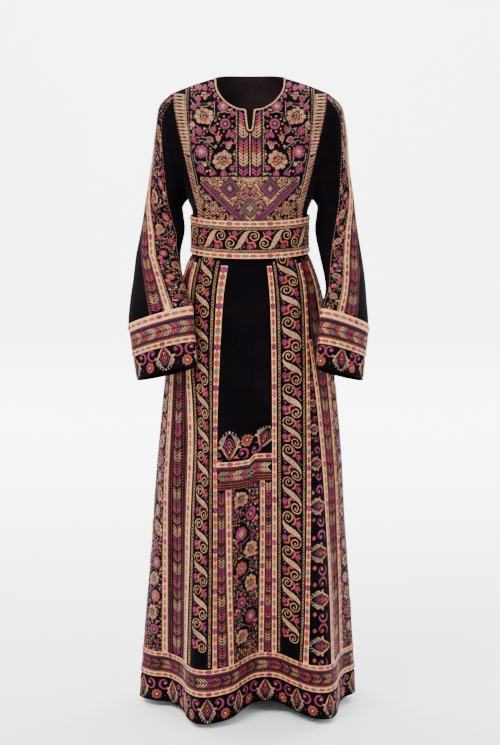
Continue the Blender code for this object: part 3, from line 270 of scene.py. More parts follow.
# ---------------------------------------------------------------- creases
# A crease runs from one side and place on the cloth to another. Then come its height above
# the cloth (a hollow is below zero) and its width across, both in metres.
SKIRT_CREASES = (
    # gathers that come out under the belt, front
    (-6, 1.03, -5, .64, .003, .015), (2, 1.03, 4, .6, -.0036, .013),
    (11, 1.03, 11, .69, .0026, .012), (-14, 1.03, -13, .6, -.003, .014),
    (-22, 1.03, -21, .76, .0022, .012), (-33, 1.02, -30, .82, -.0022, .012),
    (-44, 1.02, -37, .88, .002, .011), (28, 1.025, 25, .85, -.002, .012),
    (41, 1.025, 34, .8, .0024, .013), (63, 1.03, 60, .76, -.0026, .014),
    (-72, 1.03, -66, .8, -.0024, .013),
    # long soft folds that end in the two lobes
    (-33, .64, -34, .08, .003, .03), (-18, .56, -19, .15, -.0024, .024),
    (-52, .52, -50, .06, -.0032, .024), (30, .6, 33, .1, -.0026, .022),
    (43, .7, 44, .12, .003, .028), (58, .54, 61, .08, -.003, .022), (7, .42, 9, .06, -.0026, .02),
    # sides
    (-88, 1, -90, .33, .0034, .022), (-98, 1.03, -106, .48, -.004, .02),
    (84, 1.01, 88, .42, .0032, .022), (97, 1.03, 103, .56, -.0038, .02),
    # plain back
    (-118, 1.035, -124, .3, .0044, .024), (-131, 1.035, -137, .5, -.0046, .019),
    (-142, 1.035, -150, .12, .0048, .027), (-155, 1.035, -159, .62, -.0042, .018),
    (-166, 1.035, -171, .38, .0036, .02), (172, 1.035, 176, .56, .004, .021),
    (161, 1.035, 157, .27, -.0048, .022), (149, 1.035, 146, .64, .0038, .018),
    (137, 1.035, 133, .16, -.0046, .026), (126, 1.035, 119, .52, .0042, .02),
    (113, 1.035, 108, .7, -.0034, .017))
# On a sleeve the sides are angles round it and the places are shares of its length.
LEFT_SLEEVE_CREASES = (
    (20, .02, 45, .22, .0026, .014), (75, .03, 95, .3, -.003, .014),
    (115, .02, 140, .34, .0036, .017), (150, .05, 120, .42, -.0032, .013),
    (-60, .03, -35, .33, .003, .018), (60, .36, 128, .47, -.003, .013),
    (40, .44, 135, .55, .0032, .014), (150, .4, 95, .62, -.0028, .012),
    (-110, .38, -20, .5, -.0034, .015), (-95, .47, -30, .6, .003, .014))
RIGHT_SLEEVE_CREASES = (
    (12, .02, 30, .26, -.0024, .014), (66, .02, 100, .28, .003, .015),
    (108, .03, 128, .4, -.0034, .015), (140, .04, 112, .36, .0032, .015),
    (-70, .02, -40, .38, -.0028, .017), (50, .38, 118, .45, .0028, .013),
    (65, .47, 140, .56, -.0032, .014), (30, .52, 88, .63, .0026, .013),
    (-120, .36, -25, .46, .0032, .015), (-100, .46, -35, .57, -.0034, .014))
# On the bodice the sides are X and the places are heights.
FRONT_CREASES = (
    (-.138, 1.285, -.108, 1.135, .005, .012), (-.12, 1.25, -.096, 1.13, -.0034, .009),
    (.136, 1.275, .112, 1.15, .0042, .012), (.118, 1.24, .099, 1.128, -.0032, .009),
    (-.06, 1.185, -.048, 1.128, -.0012, .012), (.044, 1.19, .052, 1.128, .0012, .012),
    (-.128, 1.395, -.104, 1.33, -.0018, .013), (.126, 1.39, .106, 1.32, -.0018, .013))
BACK_CREASES = (
    (-.128, 1.33, -.066, 1.19, -.0034, .016), (-.118, 1.25, -.082, 1.13, .0036, .014),
    (-.052, 1.22, -.04, 1.128, .0028, .013), (-.012, 1.24, -.006, 1.13, -.0026, .014),
    (.034, 1.2, .026, 1.128, .0026, .012), (.074, 1.26, .058, 1.13, -.0032, .013),
    (.122, 1.32, .088, 1.14, .0036, .016))
CREASE_FADE = 0.28        # share of a crease's length over which each end dies away
CREASE_SHARPNESS = 1.4

# ---------------------------------------------------------------- view and light
CAMERA_PLACE, CAMERA_TILT = (0.0, -4.5, -0.05), 7.4   # the tilt in degrees below the horizon
SENSOR, LENS, CLIP_END = 36.0, 96.98, 60.0
STAGE_DEPTH, STAGE_RADIUS, STAGE_HALF, STAGE_TOP = 7.4, 2.4, 14.0, 9.0
AIR_TONE, AIR_STRENGTH = (0.95, 0.96, 1.0, 1.0), 1.40
WHITE = (1.0, 1.0, 1.0)
# Name, place, what it aims at, size, power and tone.
LIGHTS = (
    ("key", (-1.5, -2.4, 1.9), (0.0, 0.0, 0.3), (2.0, 2.0), 262.0, (1.0, 0.98, 0.95)),
    ("fill", (2.8, -3.0, 0.6), (0.0, 0.0, -0.5), (2.0, 2.4), 88.0, (0.96, 0.98, 1.0)),
    ("top", (0.2, 0.8, 2.6), (0.0, 0.0, -0.4), (2.4, 1.6), 85.0, WHITE),
    ("edge_left", (-2.6, 1.4, 0.4), (0.0, 0.0, -0.6), (0.8, 2.2), 34.0, WHITE),
    ("edge_right", (2.6, 1.4, 0.4), (0.0, 0.0, -0.6), (0.8, 2.2), 32.0, WHITE),
    ("wall_left", (-2.8, 3.4, 2.8), (-0.6, 7.4, -0.7), (2.0, 2.0), 1250.0, WHITE),
    ("wall_right", (2.8, 3.4, 2.8), (0.6, 7.4, -0.7), (2.0, 2.0), 1250.0, WHITE))

# ---------------------------------------------------------------- tones
VELVET = (0.0016, 0.0010, 0.0016)
BORDER_VELVET = (0.0022, 0.0010, 0.0016)
WRONG_SIDE = (0.0260, 0.0160, 0.0190)
CREAM, TAPE_SHADOW = (0.760, 0.385, 0.140), (0.440, 0.165, 0.065)
PIPING = (0.450, 0.260, 0.120)
THREADS = {
    "rust": (0.440, 0.150, 0.075), "gold": (0.360, 0.200, 0.100),
    "tan": (0.390, 0.220, 0.118), "coral": (0.300, 0.052, 0.038),
    "magenta": (0.185, 0.016, 0.070), "plum": (0.034, 0.004, 0.013),
    "grey": (0.150, 0.120, 0.095), "black": (0.0020, 0.0012, 0.0016), "cream": CREAM}
GROUND_SPECKS = ((330.0, 0.22, (0.022, 0.009, 0.009)),)   # scale, share of cells and tone

# ---------------------------------------------------------------- embroidery, millimetres
SCROLL_REPEAT, BELT_REPEAT, BORDER_REPEAT = 74.0, 76.0, 86.0
SCROLL_SIZE, SCROLL_WIDTH = 1.03, 47.0
SCROLL_LEAF = ((-20.6, 21.5), (-20.4, 15.5), (-14.0, 7.6), (0, 0), (14.0, -7.6),
               (20.4, -15.5), (20.6, -21.5))
# Degrees that a spiral has wound, and its radius there.
SPIRAL_REACH = ((-20, 13.6), (30, 11.6), (90, 9.8), (180, 9.0), (270, 8.2), (360, 6.2),
                (450, 4.4), (520, 2.4))
LATTICE_IN, LATTICE_ROOM, BELT_LATTICE_ROOM = 6.8, 24.4, 15.0
CUFF_WIDE, CUFF_HIGH = 1.22, 52.0
CHEVRON_ROW = 1.5          # distance between the two satin rows of a chevron
CHEVRON_STITCH = 1.45
CHEVRON_WIDEST, CHEVRON_SHARE = 23.0, 0.66
LANE_END = 1.5             # a lane's embroidery stops this far from its ends
LANE_LEVELS, LANE_SAMPLES = 9, 12      # levels where a lane is measured, and points across
ROUND_MARGIN, ROUND_SAMPLES = 60, 481  # degrees past a round chart's ends, and its points
WAIST_FALL = 1.06          # how the waist's bands drop towards the centre
NAP = {"t": "tan", "g": "gold", "c": "coral", "m": "magenta", "y": "grey", "p": "plum",
       "b": "black", "e": "cream"}


def tones(letters):
    """Names of threads from their letters in NAP."""
    return tuple(NAP[letter] for letter in letters)


MARK_TONES = tones("mccyc")
FILL_TONES = tones("mmccgyt")
WAIST_TONES = tones("tetggtemcpb")
STRIP_TONES = tones("tttmmmccpmcypc")
CUFF_TONES = tones("ttcmycttmcmy")
SLIT_TONES = tones("mmcctttgp")
BAND_TONES = tones("tttcmcyycm")
# Height above the hem and distance from the centre of the embroidered front's outer edge.
FIELD_EDGE = (
    (1100, 117), (1137, 119), (1159, 124), (1181, 129), (1198, 133), (1224, 139), (1268, 149),
    (1311, 160), (1354, 169), (1385, 173), (1410, 173))
COMB_LINE = (
    (141, 1400), (141, 1370), (139, 1330), (136, 1290), (130, 1250), (123, 1215), (119, 1195),
    (112, 1170), (108, 1140))
# Kind, X and height of its middle, turn in degrees, size, room it takes, and its thread.
CHEST_FLOWERS = (
    ("rose", 101, 1341, 28, 1, 23.5, None), ("rose", 60, 1246, -20, 1.04, 24.5, None),
    ("daisy", 54, 1324, 0, 1.75, 18, None), ("rosette", 59, 1362, 0, 1.7, 12.5, "magenta"),
    ("rosette", 106, 1264, 10, 2, 15.5, "magenta"), ("blossom", 114, 1404, 0, 1.35, 8, "magenta"),
    ("blossom", 115, 1378, 20, 1.25, 7.5, "magenta"),
    ("blossom", 100, 1402, 0, 1.1, 6.5, "magenta"), ("tulip", 99, 1378, 10, 1.1, 7, "coral"),
    ("leaf", 80, 1380, 35, 1.1, 8, "magenta"), ("blossom", 86, 1408, 0, 1.1, 6.5, "magenta"),
    ("blossom", 124, 1360, 0, 1.2, 7, "magenta"), ("blossom", 112, 1308, 10, 1.4, 8.5, "magenta"),
    ("blossom", 80, 1312, 30, 1.1, 6.5, "magenta"), ("tulip", 69, 1288, 0, 1.3, 8, "coral"),
    ("drop", 87, 1290, -62, 1, 10, "magenta"), ("leaf", 53, 1294, 40, 1.2, 8, "magenta"),
    ("tulip", 47, 1272, 5, 1.5, 9, "magenta"), ("blossom", 124, 1290, 0, 1.1, 6.5, "magenta"),
    ("blossom", 38, 1298, 0, 1, 6, "magenta"), ("blossom", 108, 1226, 0, 1.5, 9, "magenta"),
    ("tulip", 96, 1234, -40, 1, 6, "gold"), ("leaf", 88, 1212, 50, 1, 7, "magenta"),
    ("blossom", 57, 1215, 0, 1.3, 7, "magenta"), ("leaf", 40, 1338, 10, 1, 7, "magenta"),
    ("blossom", 39, 1228, 0, 1, 5.5, "magenta"), ("blossom", 126, 1322, 0, 1, 6, "gold"))
CHEST_STEMS = (
    ((77, 1376), (78, 1359), (78, 1342), (87, 1322), (86, 1308), (74, 1299), (69, 1280)),
    ((114, 1288), (100, 1287), (86, 1279), (75, 1271)),
    ((101, 1271), (94, 1259), (94, 1246), (86, 1231), (72, 1217)),
    ((131, 1378), (123, 1367), (106, 1361), (86, 1364)), ((74, 1346), (57, 1350), (44, 1347)),
    ((122, 1262), (120, 1246), (112, 1236)))


# ================================================================ helpers
def curve_through(keys, values, at):
    """Smooth curve (cubic, through every value) read at the given places."""
    keys, values = np.asarray(keys, float), np.asarray(values, float)
    slopes = np.gradient(values, keys, axis=0)
    at = np.clip(np.asarray(at, float), keys[0], keys[-1])
    i = np.clip(np.searchsorted(keys, at, side="right") - 1, 0, len(keys) - 2)
    span = keys[i + 1] - keys[i]
    shape = at.shape + (1,) * (values.ndim - 1)
    t, span = ((at - keys[i]) / span).reshape(shape), span.reshape(shape)
    return ((2 * t**3 - 3 * t**2 + 1) * values[i] + (t**3 - 2 * t**2 + t) * span * slopes[i]
            + (3 * t**2 - 2 * t**3) * values[i + 1] + (t**3 - t**2) * span * slopes[i + 1])


def smooth(points, count):
    """A number of places on the smooth curve through some points."""
    return curve_through(range(len(points)), points, np.linspace(0, len(points) - 1, count))


def smoothstep(low, high, value):
    t = np.clip((value - low) / (high - low), 0.0, 1.0)
    return t * t * (3.0 - 2.0 * t)


def unit(vectors):
    return vectors / np.maximum(np.linalg.norm(vectors, axis=-1, keepdims=True), 1e-12)


def pairs(x, y):
    return np.stack(np.broadcast_arrays(x, y), axis=-1)


def beside(along, reach):
    """Steps to the left of some directions on a chart."""
    return unit(along)[:, ::-1] * (-1, 1) * reach


def lengths_along(path):
    """Length from the first point of a path to each of its points."""
    return np.concatenate([[0.0], np.cumsum(np.linalg.norm(np.diff(path, axis=0), axis=-1))])


def within_turn(angle):
    """The same angle between -180 and 180 degrees."""
    return (np.asarray(angle) + 180.0) % 360.0 - 180.0


def steps_for(length, cell=CLOTH_CELL):
    return max(1, int(round(length / cell)))


def down(start, end, cell=CLOTH_CELL):
    """Column of places from one to another, about a cell apart."""
    return np.linspace(start, end, steps_for(abs(end - start), cell) + 1)[:, None]


def shares(columns):
    """Row of shares from 0 to 1, with a number of steps."""
    return np.linspace(0, 1, columns + 1)[None, :]


def grid_places(rows, columns):
    return pairs(*np.meshgrid(np.linspace(0, 1, columns), np.linspace(0, 1, rows))).reshape(-1, 2)


def grid_cells(rows, columns, closed=False, split=None):
    """Corners of a grid's cells; closed joins its ends, and no cell follows the split column."""
    r, c = np.mgrid[0:rows - 1, 0:columns if closed else columns - 1]
    if split is not None:
        keep = np.arange(columns - 1) != split
        r, c = r[:, keep], c[:, keep]
    n = (c + 1) % columns
    return np.stack([r * columns + c, r * columns + n, (r + 1) * columns + n,
                     (r + 1) * columns + c], axis=-1).reshape(-1, 4)


def mirrored(sign, *parts):
    return [part * (sign, 1.0, 1.0) for part in parts]


def crease_height(creases, side, place, side_length):
    """Height of the cloth above its plain form; side_length turns a side into metres."""
    total = np.zeros(np.broadcast(side, place).shape)
    for side_top, top, side_bottom, bottom, height, width in creases:
        share = (place - top) / (bottom - top)
        away = (side - (side_top + (side_bottom - side_top) * share)) * side_length / width
        ends = smoothstep(0, CREASE_FADE, share) * smoothstep(1, 1 - CREASE_FADE, share)
        total += height * ends * np.exp(-away * away * CREASE_SHARPNESS)
    return total


# ================================================================ surfaces
# Each surface takes two coordinates and gives points (height above the hem) and normals.
def by_differences(form, relief, probe, a, b):
    """Points moved out by a relief along the plain form's normals, and those normals."""
    a, b = np.broadcast_arrays(np.asarray(a, float), np.asarray(b, float))
    across = form(a + probe[0], b) - form(a - probe[0], b)
    upward = form(a, b + probe[1]) - form(a, b - probe[1])
    normals = unit(np.cross(across, upward))
    return form(a, b) + normals * relief(a, b)[..., None], normals


def belt_dip(angle):
    return BELT_DIP * np.clip((1 + np.cos(np.radians(angle))) / 2, 0, 1) ** BELT_DIP_POWER


def dip_share(level):
    """The skirt's fullness starts along the belt's lower edge, which dips in front."""
    levels = SKIRT_RINGS[:, 0]
    return smoothstep(levels[0], levels[1], level) * smoothstep(levels[4], levels[2], level)


def band_step(angle, level):
    """The cross band climbs a little past the middle pleat, and fades out above and below."""
    near = np.clip(1.0 - np.abs(level - (BAND_TOP + BAND_BOTTOM) / 2) / BAND_STEP_REACH, 0, 1)
    middle = smoothstep(*BAND_STEP_RISE, angle) * smoothstep(*BAND_STEP_FALL, angle)
    return BAND_STEP * middle * smoothstep(0.0, BAND_STEP_FULL, near)


def skirt_base(angle, level):
    ring = curve_through(SKIRT_RINGS[::-1, 0], SKIRT_RINGS[::-1, 1:], level)
    turn = np.radians(angle)
    depth = np.where(np.cos(turn) > 0, ring[..., 1], ring[..., 2])
    return np.stack([ring[..., 0] * np.sin(turn), -depth * np.cos(turn)], axis=-1)


def skirt_form(angle, level):
    """The skirt's plain form, with the folds that make its lobes."""
    angle = within_turn(angle)
    level = level + band_step(angle, level)
    fold = curve_through(FOLDS[:, 0], FOLDS[:, 1:], angle)
    hem = skirt_base(angle, np.zeros_like(level))
    start = fold[..., 3]
    growth = np.clip((start - level) / start, 0.0, FOLD_DEEPEST) ** FOLD_GROWTH
    flat = skirt_base(angle, level) + (fold[..., 0:2] - hem) * growth[..., None]
    rise = fold[..., 2] * growth - belt_dip(angle) * dip_share(level)
    return np.concatenate([flat, (level + rise)[..., None]], axis=-1)


def skirt_relief(angle, level):
    return crease_height(SKIRT_CREASES, within_turn(angle), level, math.radians(SKIRT_RADIUS))


def skirt_surface(angle, level):
    return by_differences(skirt_form, skirt_relief, SKIRT_PROBE, angle, level)


def strip_angle(name, level):
    """Angle at which a strip starts, at each level."""
    if name == "end":
        return np.full(np.shape(level), 180.0)
    return curve_through(STRIP_LEVELS[::-1], STRIPS[name][::-1], level)


def strip_after(name):
    names = list(STRIPS)
    return names[names.index(name) + 1]


def belt_form(angle, height):
    turn = np.radians(angle)
    lap = BELT_LAP_RISE * smoothstep(*BELT_LAP_TURN, angle)
    depth = np.where(np.cos(turn) > 0, BELT_FRONT, BELT_BACK) + lap
    level = BELT_BOTTOM + height - belt_dip(angle)
    return np.stack([(BELT_HALF_WIDTH + lap) * np.sin(turn), -depth * np.cos(turn), level],
                    axis=-1)


def belt_relief(angle, height):
    """A stiff belt that has buckled a little where it has been bent and tied."""
    wave = sum(np.sin(np.radians(angle) * turns + start) * size
               for turns, start, size in BELT_WAVES)
    return wave * np.sin(np.pi * np.clip(height / BELT_HEIGHT, 0, 1))


def belt_surface(angle, height):
    return by_differences(belt_form, belt_relief, SKIRT_PROBE, angle, height)


def armhole_point(angle):
    """Point of the +X armhole; angle 0 shoulder tip, 90 front, 180 armpit, below 0 back."""
    turn = np.radians(angle)
    return np.array([ARMHOLE_X + ARMHOLE_LEAN * np.cos(turn), -ARMHOLE_DEPTH * np.sin(turn),
                     ARMHOLE_Z + ARMHOLE_RISE * np.cos(turn)])


def row_points(row, share, back=False):
    """Points of one bodice row on the +X side, for shares 0 (centre) to 1 (edge)."""
    if isinstance(row.edge, tuple):
        edge = np.array([row.edge[0], 0.0, row.edge[1]])
    else:
        edge = armhole_point(-row.edge if back else row.edge)
    full = math.radians(row.turn)
    bend = share * full
    across = np.sin(bend) / math.sin(full)
    fall = (np.cos(bend) - math.cos(full)) / (1.0 - math.cos(full))
    points = np.stack([edge[0] * across, edge[1] + (row.centre_y - edge[1]) * fall,
                       row.centre_z + (edge[2] - row.centre_z) * across ** ROW_FALL], axis=-1)
    if back and row.edge == 0:
        curl = np.clip(1.0 - share / SHOULDER_NECK, 0.0, 1.0)
        points[..., 1] += NECK_BACK_Y * np.sqrt(np.clip(1 - (1 - curl) ** 2, 0, 1))
        points[..., 2] += (NECK_BACK_Z - row.centre_z) * smoothstep(0.0, 1.0, curl)
    return points


def inner_share(row, number):
    """Where a front row starts: the centre, the slit's edge or the neckline."""
    if number <= SLIT_ROW:
        return 0.0
    if row.edge == 0:
        return SHOULDER_NECK
    slit = SLIT_HALF_WIDTH * (SLIT_ROUND if number == SLIT_OPEN_ROW else 1.0)
    share = 0.0
    for _ in range(NECK_SEARCH_STEPS):
        point = row_points(row, np.array([share]))[0]
        drop = np.clip((NECK_TOP - point[2]) / (NECK_TOP - NECK_BOTTOM), 0.0, 1.0)
        wanted = NECK_HALF_WIDTH * math.sqrt(1.0 - drop * drop) if number > NECK_ROW else slit
        ahead = row_points(row, np.array([share + NECK_SEARCH_STEP]))[0]
        share += (wanted - point[0]) * NECK_SEARCH_STEP / max(ahead[0] - point[0], 1e-5)
    return share


def bodice_grid(kind, first, last):
    """Points and outward normals of a part of the bodice's +X half: panel, side or back."""
    back = kind == "back"
    rows = []
    for number, row in enumerate(BACK_ROWS if back else FRONT_ROWS):
        start = inner_share(row, number) if kind == "panel" else row.panel
        ends = {"panel": (start, row.panel), "side": (start, 1.0), "back": (0.0, 1.0)}[kind]
        rows.append(row_points(row, np.linspace(*ends, steps_for(HALF_WIDTHS[kind]) + 1), back))
    rows = np.array(rows)
    steps = np.linalg.norm(np.diff(rows, axis=0), axis=-1).mean(axis=1)
    keys = np.concatenate([[0.0], np.cumsum(steps)])
    points = curve_through(keys, rows, down(keys[first], keys[last])[:, 0])
    points[..., 0] = np.maximum(points[..., 0], 0.0)
    normals = unit(np.cross(np.gradient(points, axis=0), np.gradient(points, axis=1)))
    middle = normals[len(normals) // 2, 2, 1]
    return points, normals * np.sign(middle if back else -middle)


def both_halves(points, normals):
    """The -X half, mirrored, then the +X half."""
    return [np.concatenate([part[:, ::-1], whole], axis=1)
            for part, whole in zip(mirrored(-1.0, points, normals), (points, normals))]


class Sleeve:
    """One sleeve: angles round it (0 outer, 90 front, 180 inner) and lengths down it."""

    def __init__(self, side, table, lines, creases):
        self.side, self.lines, self.creases = side, lines, creases
        self.sign = -1.0 if side == "left" else 1.0
        armhole = [*armhole_point(0.0), *armhole_point(180.0), ARMHOLE_DEPTH, 0.0]
        self.rings = np.array([armhole, *(np.array(table) / ([1000] * 7 + [1]))])
        self.keys = lengths_along((self.rings[:, 0:3] + self.rings[:, 3:6]) / 2.0)
        self.length, self.cuff = self.keys[-1], self.keys[CUFF_RING]

    def form(self, angle, along):
        ring = curve_through(self.keys, self.rings, along)
        middle = (ring[..., 0:3] + ring[..., 3:6]) / 2.0
        half = (ring[..., 0:3] - ring[..., 3:6]) / 2.0
        tilt = np.radians(ring[..., 7])
        backward = np.stack([0 * tilt, np.cos(tilt), -np.sin(tilt)], axis=-1)
        turn = np.radians(angle)[..., None]
        return middle + half * np.cos(turn) - backward * ring[..., 6:7] * np.sin(turn)

    def relief(self, angle, along):
        return crease_height(self.creases, within_turn(angle), along / self.length,
                             math.radians(SLEEVE_RADIUS))

    def surface(self, angle, along):
        """Points and outward normals, mirrored to the sleeve's own side."""
        return mirrored(self.sign, *by_differences(self.form, self.relief, SLEEVE_PROBE,
                                                   angle, along))

    def between(self, first, last, columns, along):
        """Grid between two of its lines, in the way that angles grow, at lengths down it."""
        start, end = self.line(first, along), self.line(last, along)
        if first == "front":
            end = end + 360.0
        return self.surface(start + (end - start) * shares(columns), along)

    def line(self, name, along):
        """Angle of one of the sleeve's lines at a length down it."""
        return curve_through(self.keys[list(SLEEVE_LINE_RINGS)], self.lines[name], along)


# ================================================================ finishes
def shade(tone, share=1.0):
    """A tone made lighter or darker, with full opacity."""
    return (*(min(1.0, channel * share) for channel in tone), 1.0)


class Finish:
    """A node material: Principled shader settings, then textures that are linked to it."""

    def __init__(self, name, **settings):
        self.material = bpy.data.materials.new(name)
        self.material.use_nodes = True
        self.tree = self.material.node_tree
        self.shader = self.tree.nodes["Principled BSDF"]
        self.feed(self.shader, {key.replace("_", " "): value for key, value in settings.items()})
        self.place = self.add("TexCoord")["Object"]

    def feed(self, node, inputs):
        """Link or set each input of a node."""
        for socket, value in inputs.items():
            if isinstance(value, bpy.types.NodeSocket):
                self.tree.links.new(value, node.inputs[socket])
            else:
                node.inputs[socket].default_value = value

    def add(self, kind, inputs=(), **attributes):
        """A new node's outputs."""
        node = self.tree.nodes.new("ShaderNode" + kind)
        for name, value in attributes.items():
            setattr(node, name, value)
        self.feed(node, dict(inputs))
        return node.outputs

    def ramp(self, fac, *stops):
        colour = self.add("ValToRGB", {"Fac": fac})["Color"]
        elements = colour.node.color_ramp.elements
        while len(elements) < len(stops):
            elements.new(0.5)
        for element, (place, tone) in zip(elements, stops):
            element.position, element.color = place, tone
        return colour

    def mask(self, fac, low, high, first=0):
        """Black up to one value and white from another, or the other way round."""
        return self.ramp(fac, (low, (first,) * 3 + (1,)), (high, (1 - first,) * 3 + (1,)))

    def mix(self, fac, first, second, blend="MIX"):
        return self.add("Mix", {0: fac, 6: first, 7: second}, data_type="RGBA",
                        blend_type=blend)[2]

    def noise(self, scale, detail=3.0, roughness=0.55):
        return self.add("TexNoise", {"Vector": self.place, "Scale": scale, "Detail": detail,
                                     "Roughness": roughness})["Fac"]

    def shape(self, colour, grain, low, high, height, strength, distance):
        """The shader's colour, its roughness between two values, and its bump."""
        rough = self.add("MapRange", {"Value": grain, "To Min": low, "To Max": high})["Result"]
        bump = self.add("Bump", {"Height": height, "Strength": strength,
                                 "Distance": distance})["Normal"]
        self.feed(self.shader, {"Base Color": colour, "Roughness": rough, "Normal": bump})
        return self.material


def velvet(name, tone, sheen, specks=()):
    """Short cotton pile: dark in the folds, a soft bloom where it turns away."""
    finish = Finish(name, Roughness=0.9, Sheen_Weight=sheen, Sheen_Roughness=0.35,
                    Sheen_Tint=(0.55, 0.42, 0.46, 1.0), Specular_IOR_Level=0.02)
    cloudy = finish.noise(9.0, 4.0)
    pile = finish.ramp(cloudy, (0.30, shade(tone, 0.55)), (0.55, shade(tone)),
                       (0.78, shade(tone, 1.75)))
    pile = finish.mix(finish.mask(finish.noise(420.0, 2.0), 0.64, 0.82), pile, shade(tone, 2.2))
    for scale, amount, speck in specks:
        cells = finish.add("TexVoronoi", {"Vector": finish.place, "Scale": scale})
        near = finish.mask(cells["Distance"], 0.20, 0.34, 1)
        some = finish.mask(cells["Color"], amount, amount + 0.02, 1)
        pile = finish.mix(finish.mix(1.0, near, some, "MULTIPLY"), pile, shade(speck))
    nap = finish.add("Math", {0: finish.noise(1500.0, 2.0), 1: cloudy}, operation="ADD")[0]
    return finish.shape(pile, finish.noise(60.0), 0.78, 0.96, nap, 0.5, 0.0006)


def thread(name, tone, gloss=0.46):
    """Stranded cotton or couched silk cord: fine twist, dye that varies a little, and painted
    shade in the low places between its strands.
    """
    finish = Finish(name, Sheen_Weight=0.05, Sheen_Roughness=0.3, Specular_IOR_Level=0.16)
    strand = finish.noise(1300.0, 1.0)
    colour = finish.mix(finish.mask(finish.noise(30.0, 3.0), 0.34, 0.68), shade(tone, 0.72),
                        shade(tone, 1.22))
    # The grain noise darkens the thread in patches at random. The strand noise is also the bump's
    # height, and it darkens the thread's low places: painted shade between the strands.
    for grain, low, dark in ((finish.noise(430.0, 1.5), 0.40, (0.34, 0.28, 0.28)),
                             (strand, 0.34, (0.55, 0.48, 0.48))):
        colour = finish.mix(finish.mask(grain, low, 0.58),
                            finish.mix(1.0, colour, shade(dark), "MULTIPLY"), colour)
    return finish.shape(colour, strand, gloss, gloss + 0.26, strand, 0.6, 0.0004)


def woven(name, tone, dark, pitch=0.0011):
    """Tape with warp and weft that show, from the cloth's own lengths in metres."""
    finish = Finish(name, Sheen_Weight=0.12, Specular_IOR_Level=0.3)
    lengths = finish.add("UVMap", uv_map="Cloth")["UV"]
    waves = [finish.add("TexWave", {"Vector": lengths, "Scale": 0.314 / pitch,
                                    "Distortion": 0.6, "Detail": 1.0},
                        bands_direction=direction)["Fac"] for direction in ("X", "Y")]
    weave = finish.mix(0.5, *waves)
    clean = finish.ramp(finish.noise(26.0, 4.0), (0.30, shade(tone, 0.74)),
                        (0.52, shade(tone)), (0.75, shade(tone, 1.12)))
    colour = finish.mix(finish.mask(weave, 0.25, 0.55), shade(dark), clean)
    return finish.shape(colour, weave, 0.62, 0.86, weave, 0.7, 0.0005)


# ================================================================ meshes
def add_object(name, data):
    thing = bpy.data.objects.new(name, data)
    bpy.context.collection.objects.link(thing)
    return thing


def add_piece(name, points, faces, spread, finish, slot, lengths=None, sharp=True):
    """Mesh object in the frame; spread and lengths give each point a place on its maps."""
    mesh = bpy.data.meshes.new(name)
    mesh.from_pydata((points - (0.0, 0.0, SHOULDER_HEIGHT)).tolist(), [], faces)
    corners = np.empty(len(mesh.loops), np.int32)
    mesh.loops.foreach_get("vertex_index", corners)
    for title, places in (("OFBake", spread), ("Cloth", spread if lengths is None else lengths)):
        layer = mesh.uv_layers.new(name=title)
        layer.data.foreach_set("uv", places[corners].astype(np.float32).ravel())
    mesh.shade_smooth()
    if sharp:
        mesh.set_sharp_from_angle(angle=math.radians(SHARP_EDGE))
    mesh.materials.append(finish)
    thing = add_object(name, mesh)
    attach(thing, "root")
    return thing


def add_shell(name, outer, normals, thickness, finish, slot, lining=None, **options):
    """Cloth of one thickness under a grid of points; equal points become one."""
    cells = grid_cells(*outer.shape[:2], **options)
    flat, outward = outer.reshape(-1, 3), normals.reshape(-1, 3)
    _, first, index = np.unique(np.round(flat, 6), axis=0, return_index=True,
                                return_inverse=True)
    middle = cells[len(cells) // 2]
    facing = np.cross(flat[middle[1]] - flat[middle[0]], flat[middle[3]] - flat[middle[0]])
    if np.dot(facing, outward[middle[0]]) < 0:
        cells = cells[:, ::-1]
    tops = [tuple(dict.fromkeys(cell)) for cell in index.reshape(-1)[cells].tolist()]
    tops = [cell for cell in tops if len(cell) > 2]
    under = len(first)
    faces = tops + [tuple(under + k for k in reversed(cell)) for cell in tops]
    edges = {(a, b) for cell in tops for a, b in zip(cell, cell[1:] + cell[:1])}
    faces += [(b, a, under + a, under + b) for a, b in edges if (b, a) not in edges]
    points = np.concatenate([flat[first], (flat - outward * thickness)[first]])
    places = grid_places(*outer.shape[:2])[first]
    half = places * (MAP_SIDE, 1.0)
    spread = np.concatenate([half, half + (1.0 - MAP_SIDE, 0.0)])
    thing = add_piece(name, points, faces, spread, finish, slot,
                      np.concatenate([places, places]) * sheet_size(outer))
    if lining:
        thing.data.materials.append(lining)
        side = np.zeros(len(faces), np.int32)
        side[len(tops):2 * len(tops)] = 1
        thing.data.polygons.foreach_set("material_index", side)
    return thing


def sheet_size(points):
    """Greatest width and length of a grid of cloth, measured along it."""
    across = np.linalg.norm(np.diff(points, axis=1), axis=-1).sum(axis=1)
    along = np.linalg.norm(np.diff(points, axis=0), axis=-1).sum(axis=0)
    return float(across.max()), float(along.max())


def sheet_area(points, split=None):
    """Area of a grid of cloth, without the cells after its split column."""
    one = np.cross(points[1:, 1:] - points[:-1, :-1], points[1:, :-1] - points[:-1, 1:])
    if split is not None:
        one[:, split] = 0.0
    return float(np.linalg.norm(one, axis=-1).sum() / 2.0)


def add_cloth(name, points, normals, finish, slot, hangs_from, thickness=CLOTH, held="hung",
              **options):
    """A cut piece of cloth in the place of its solid."""
    lining = bpy.data.materials["velvet_wrong_side"] if name == "bodice_back" else None
    thing = add_shell(name + "_cloth", points, normals, thickness, finish, slot,
                      lining=lining, **options)
    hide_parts(name)
    width, length = sheet_size(points)
    if options.get("closed"):
        width += float(np.linalg.norm(points[:, 0] - points[:, -1], axis=-1).max())
    width, length = max(width, NARROWEST_SHEET), max(length, NARROWEST_SHEET)
    area = min(width * length, max(LEAST_AREA * width * length,
                                   sheet_area(points, options.get("split"))))
    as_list(hangs_from)
    return thing


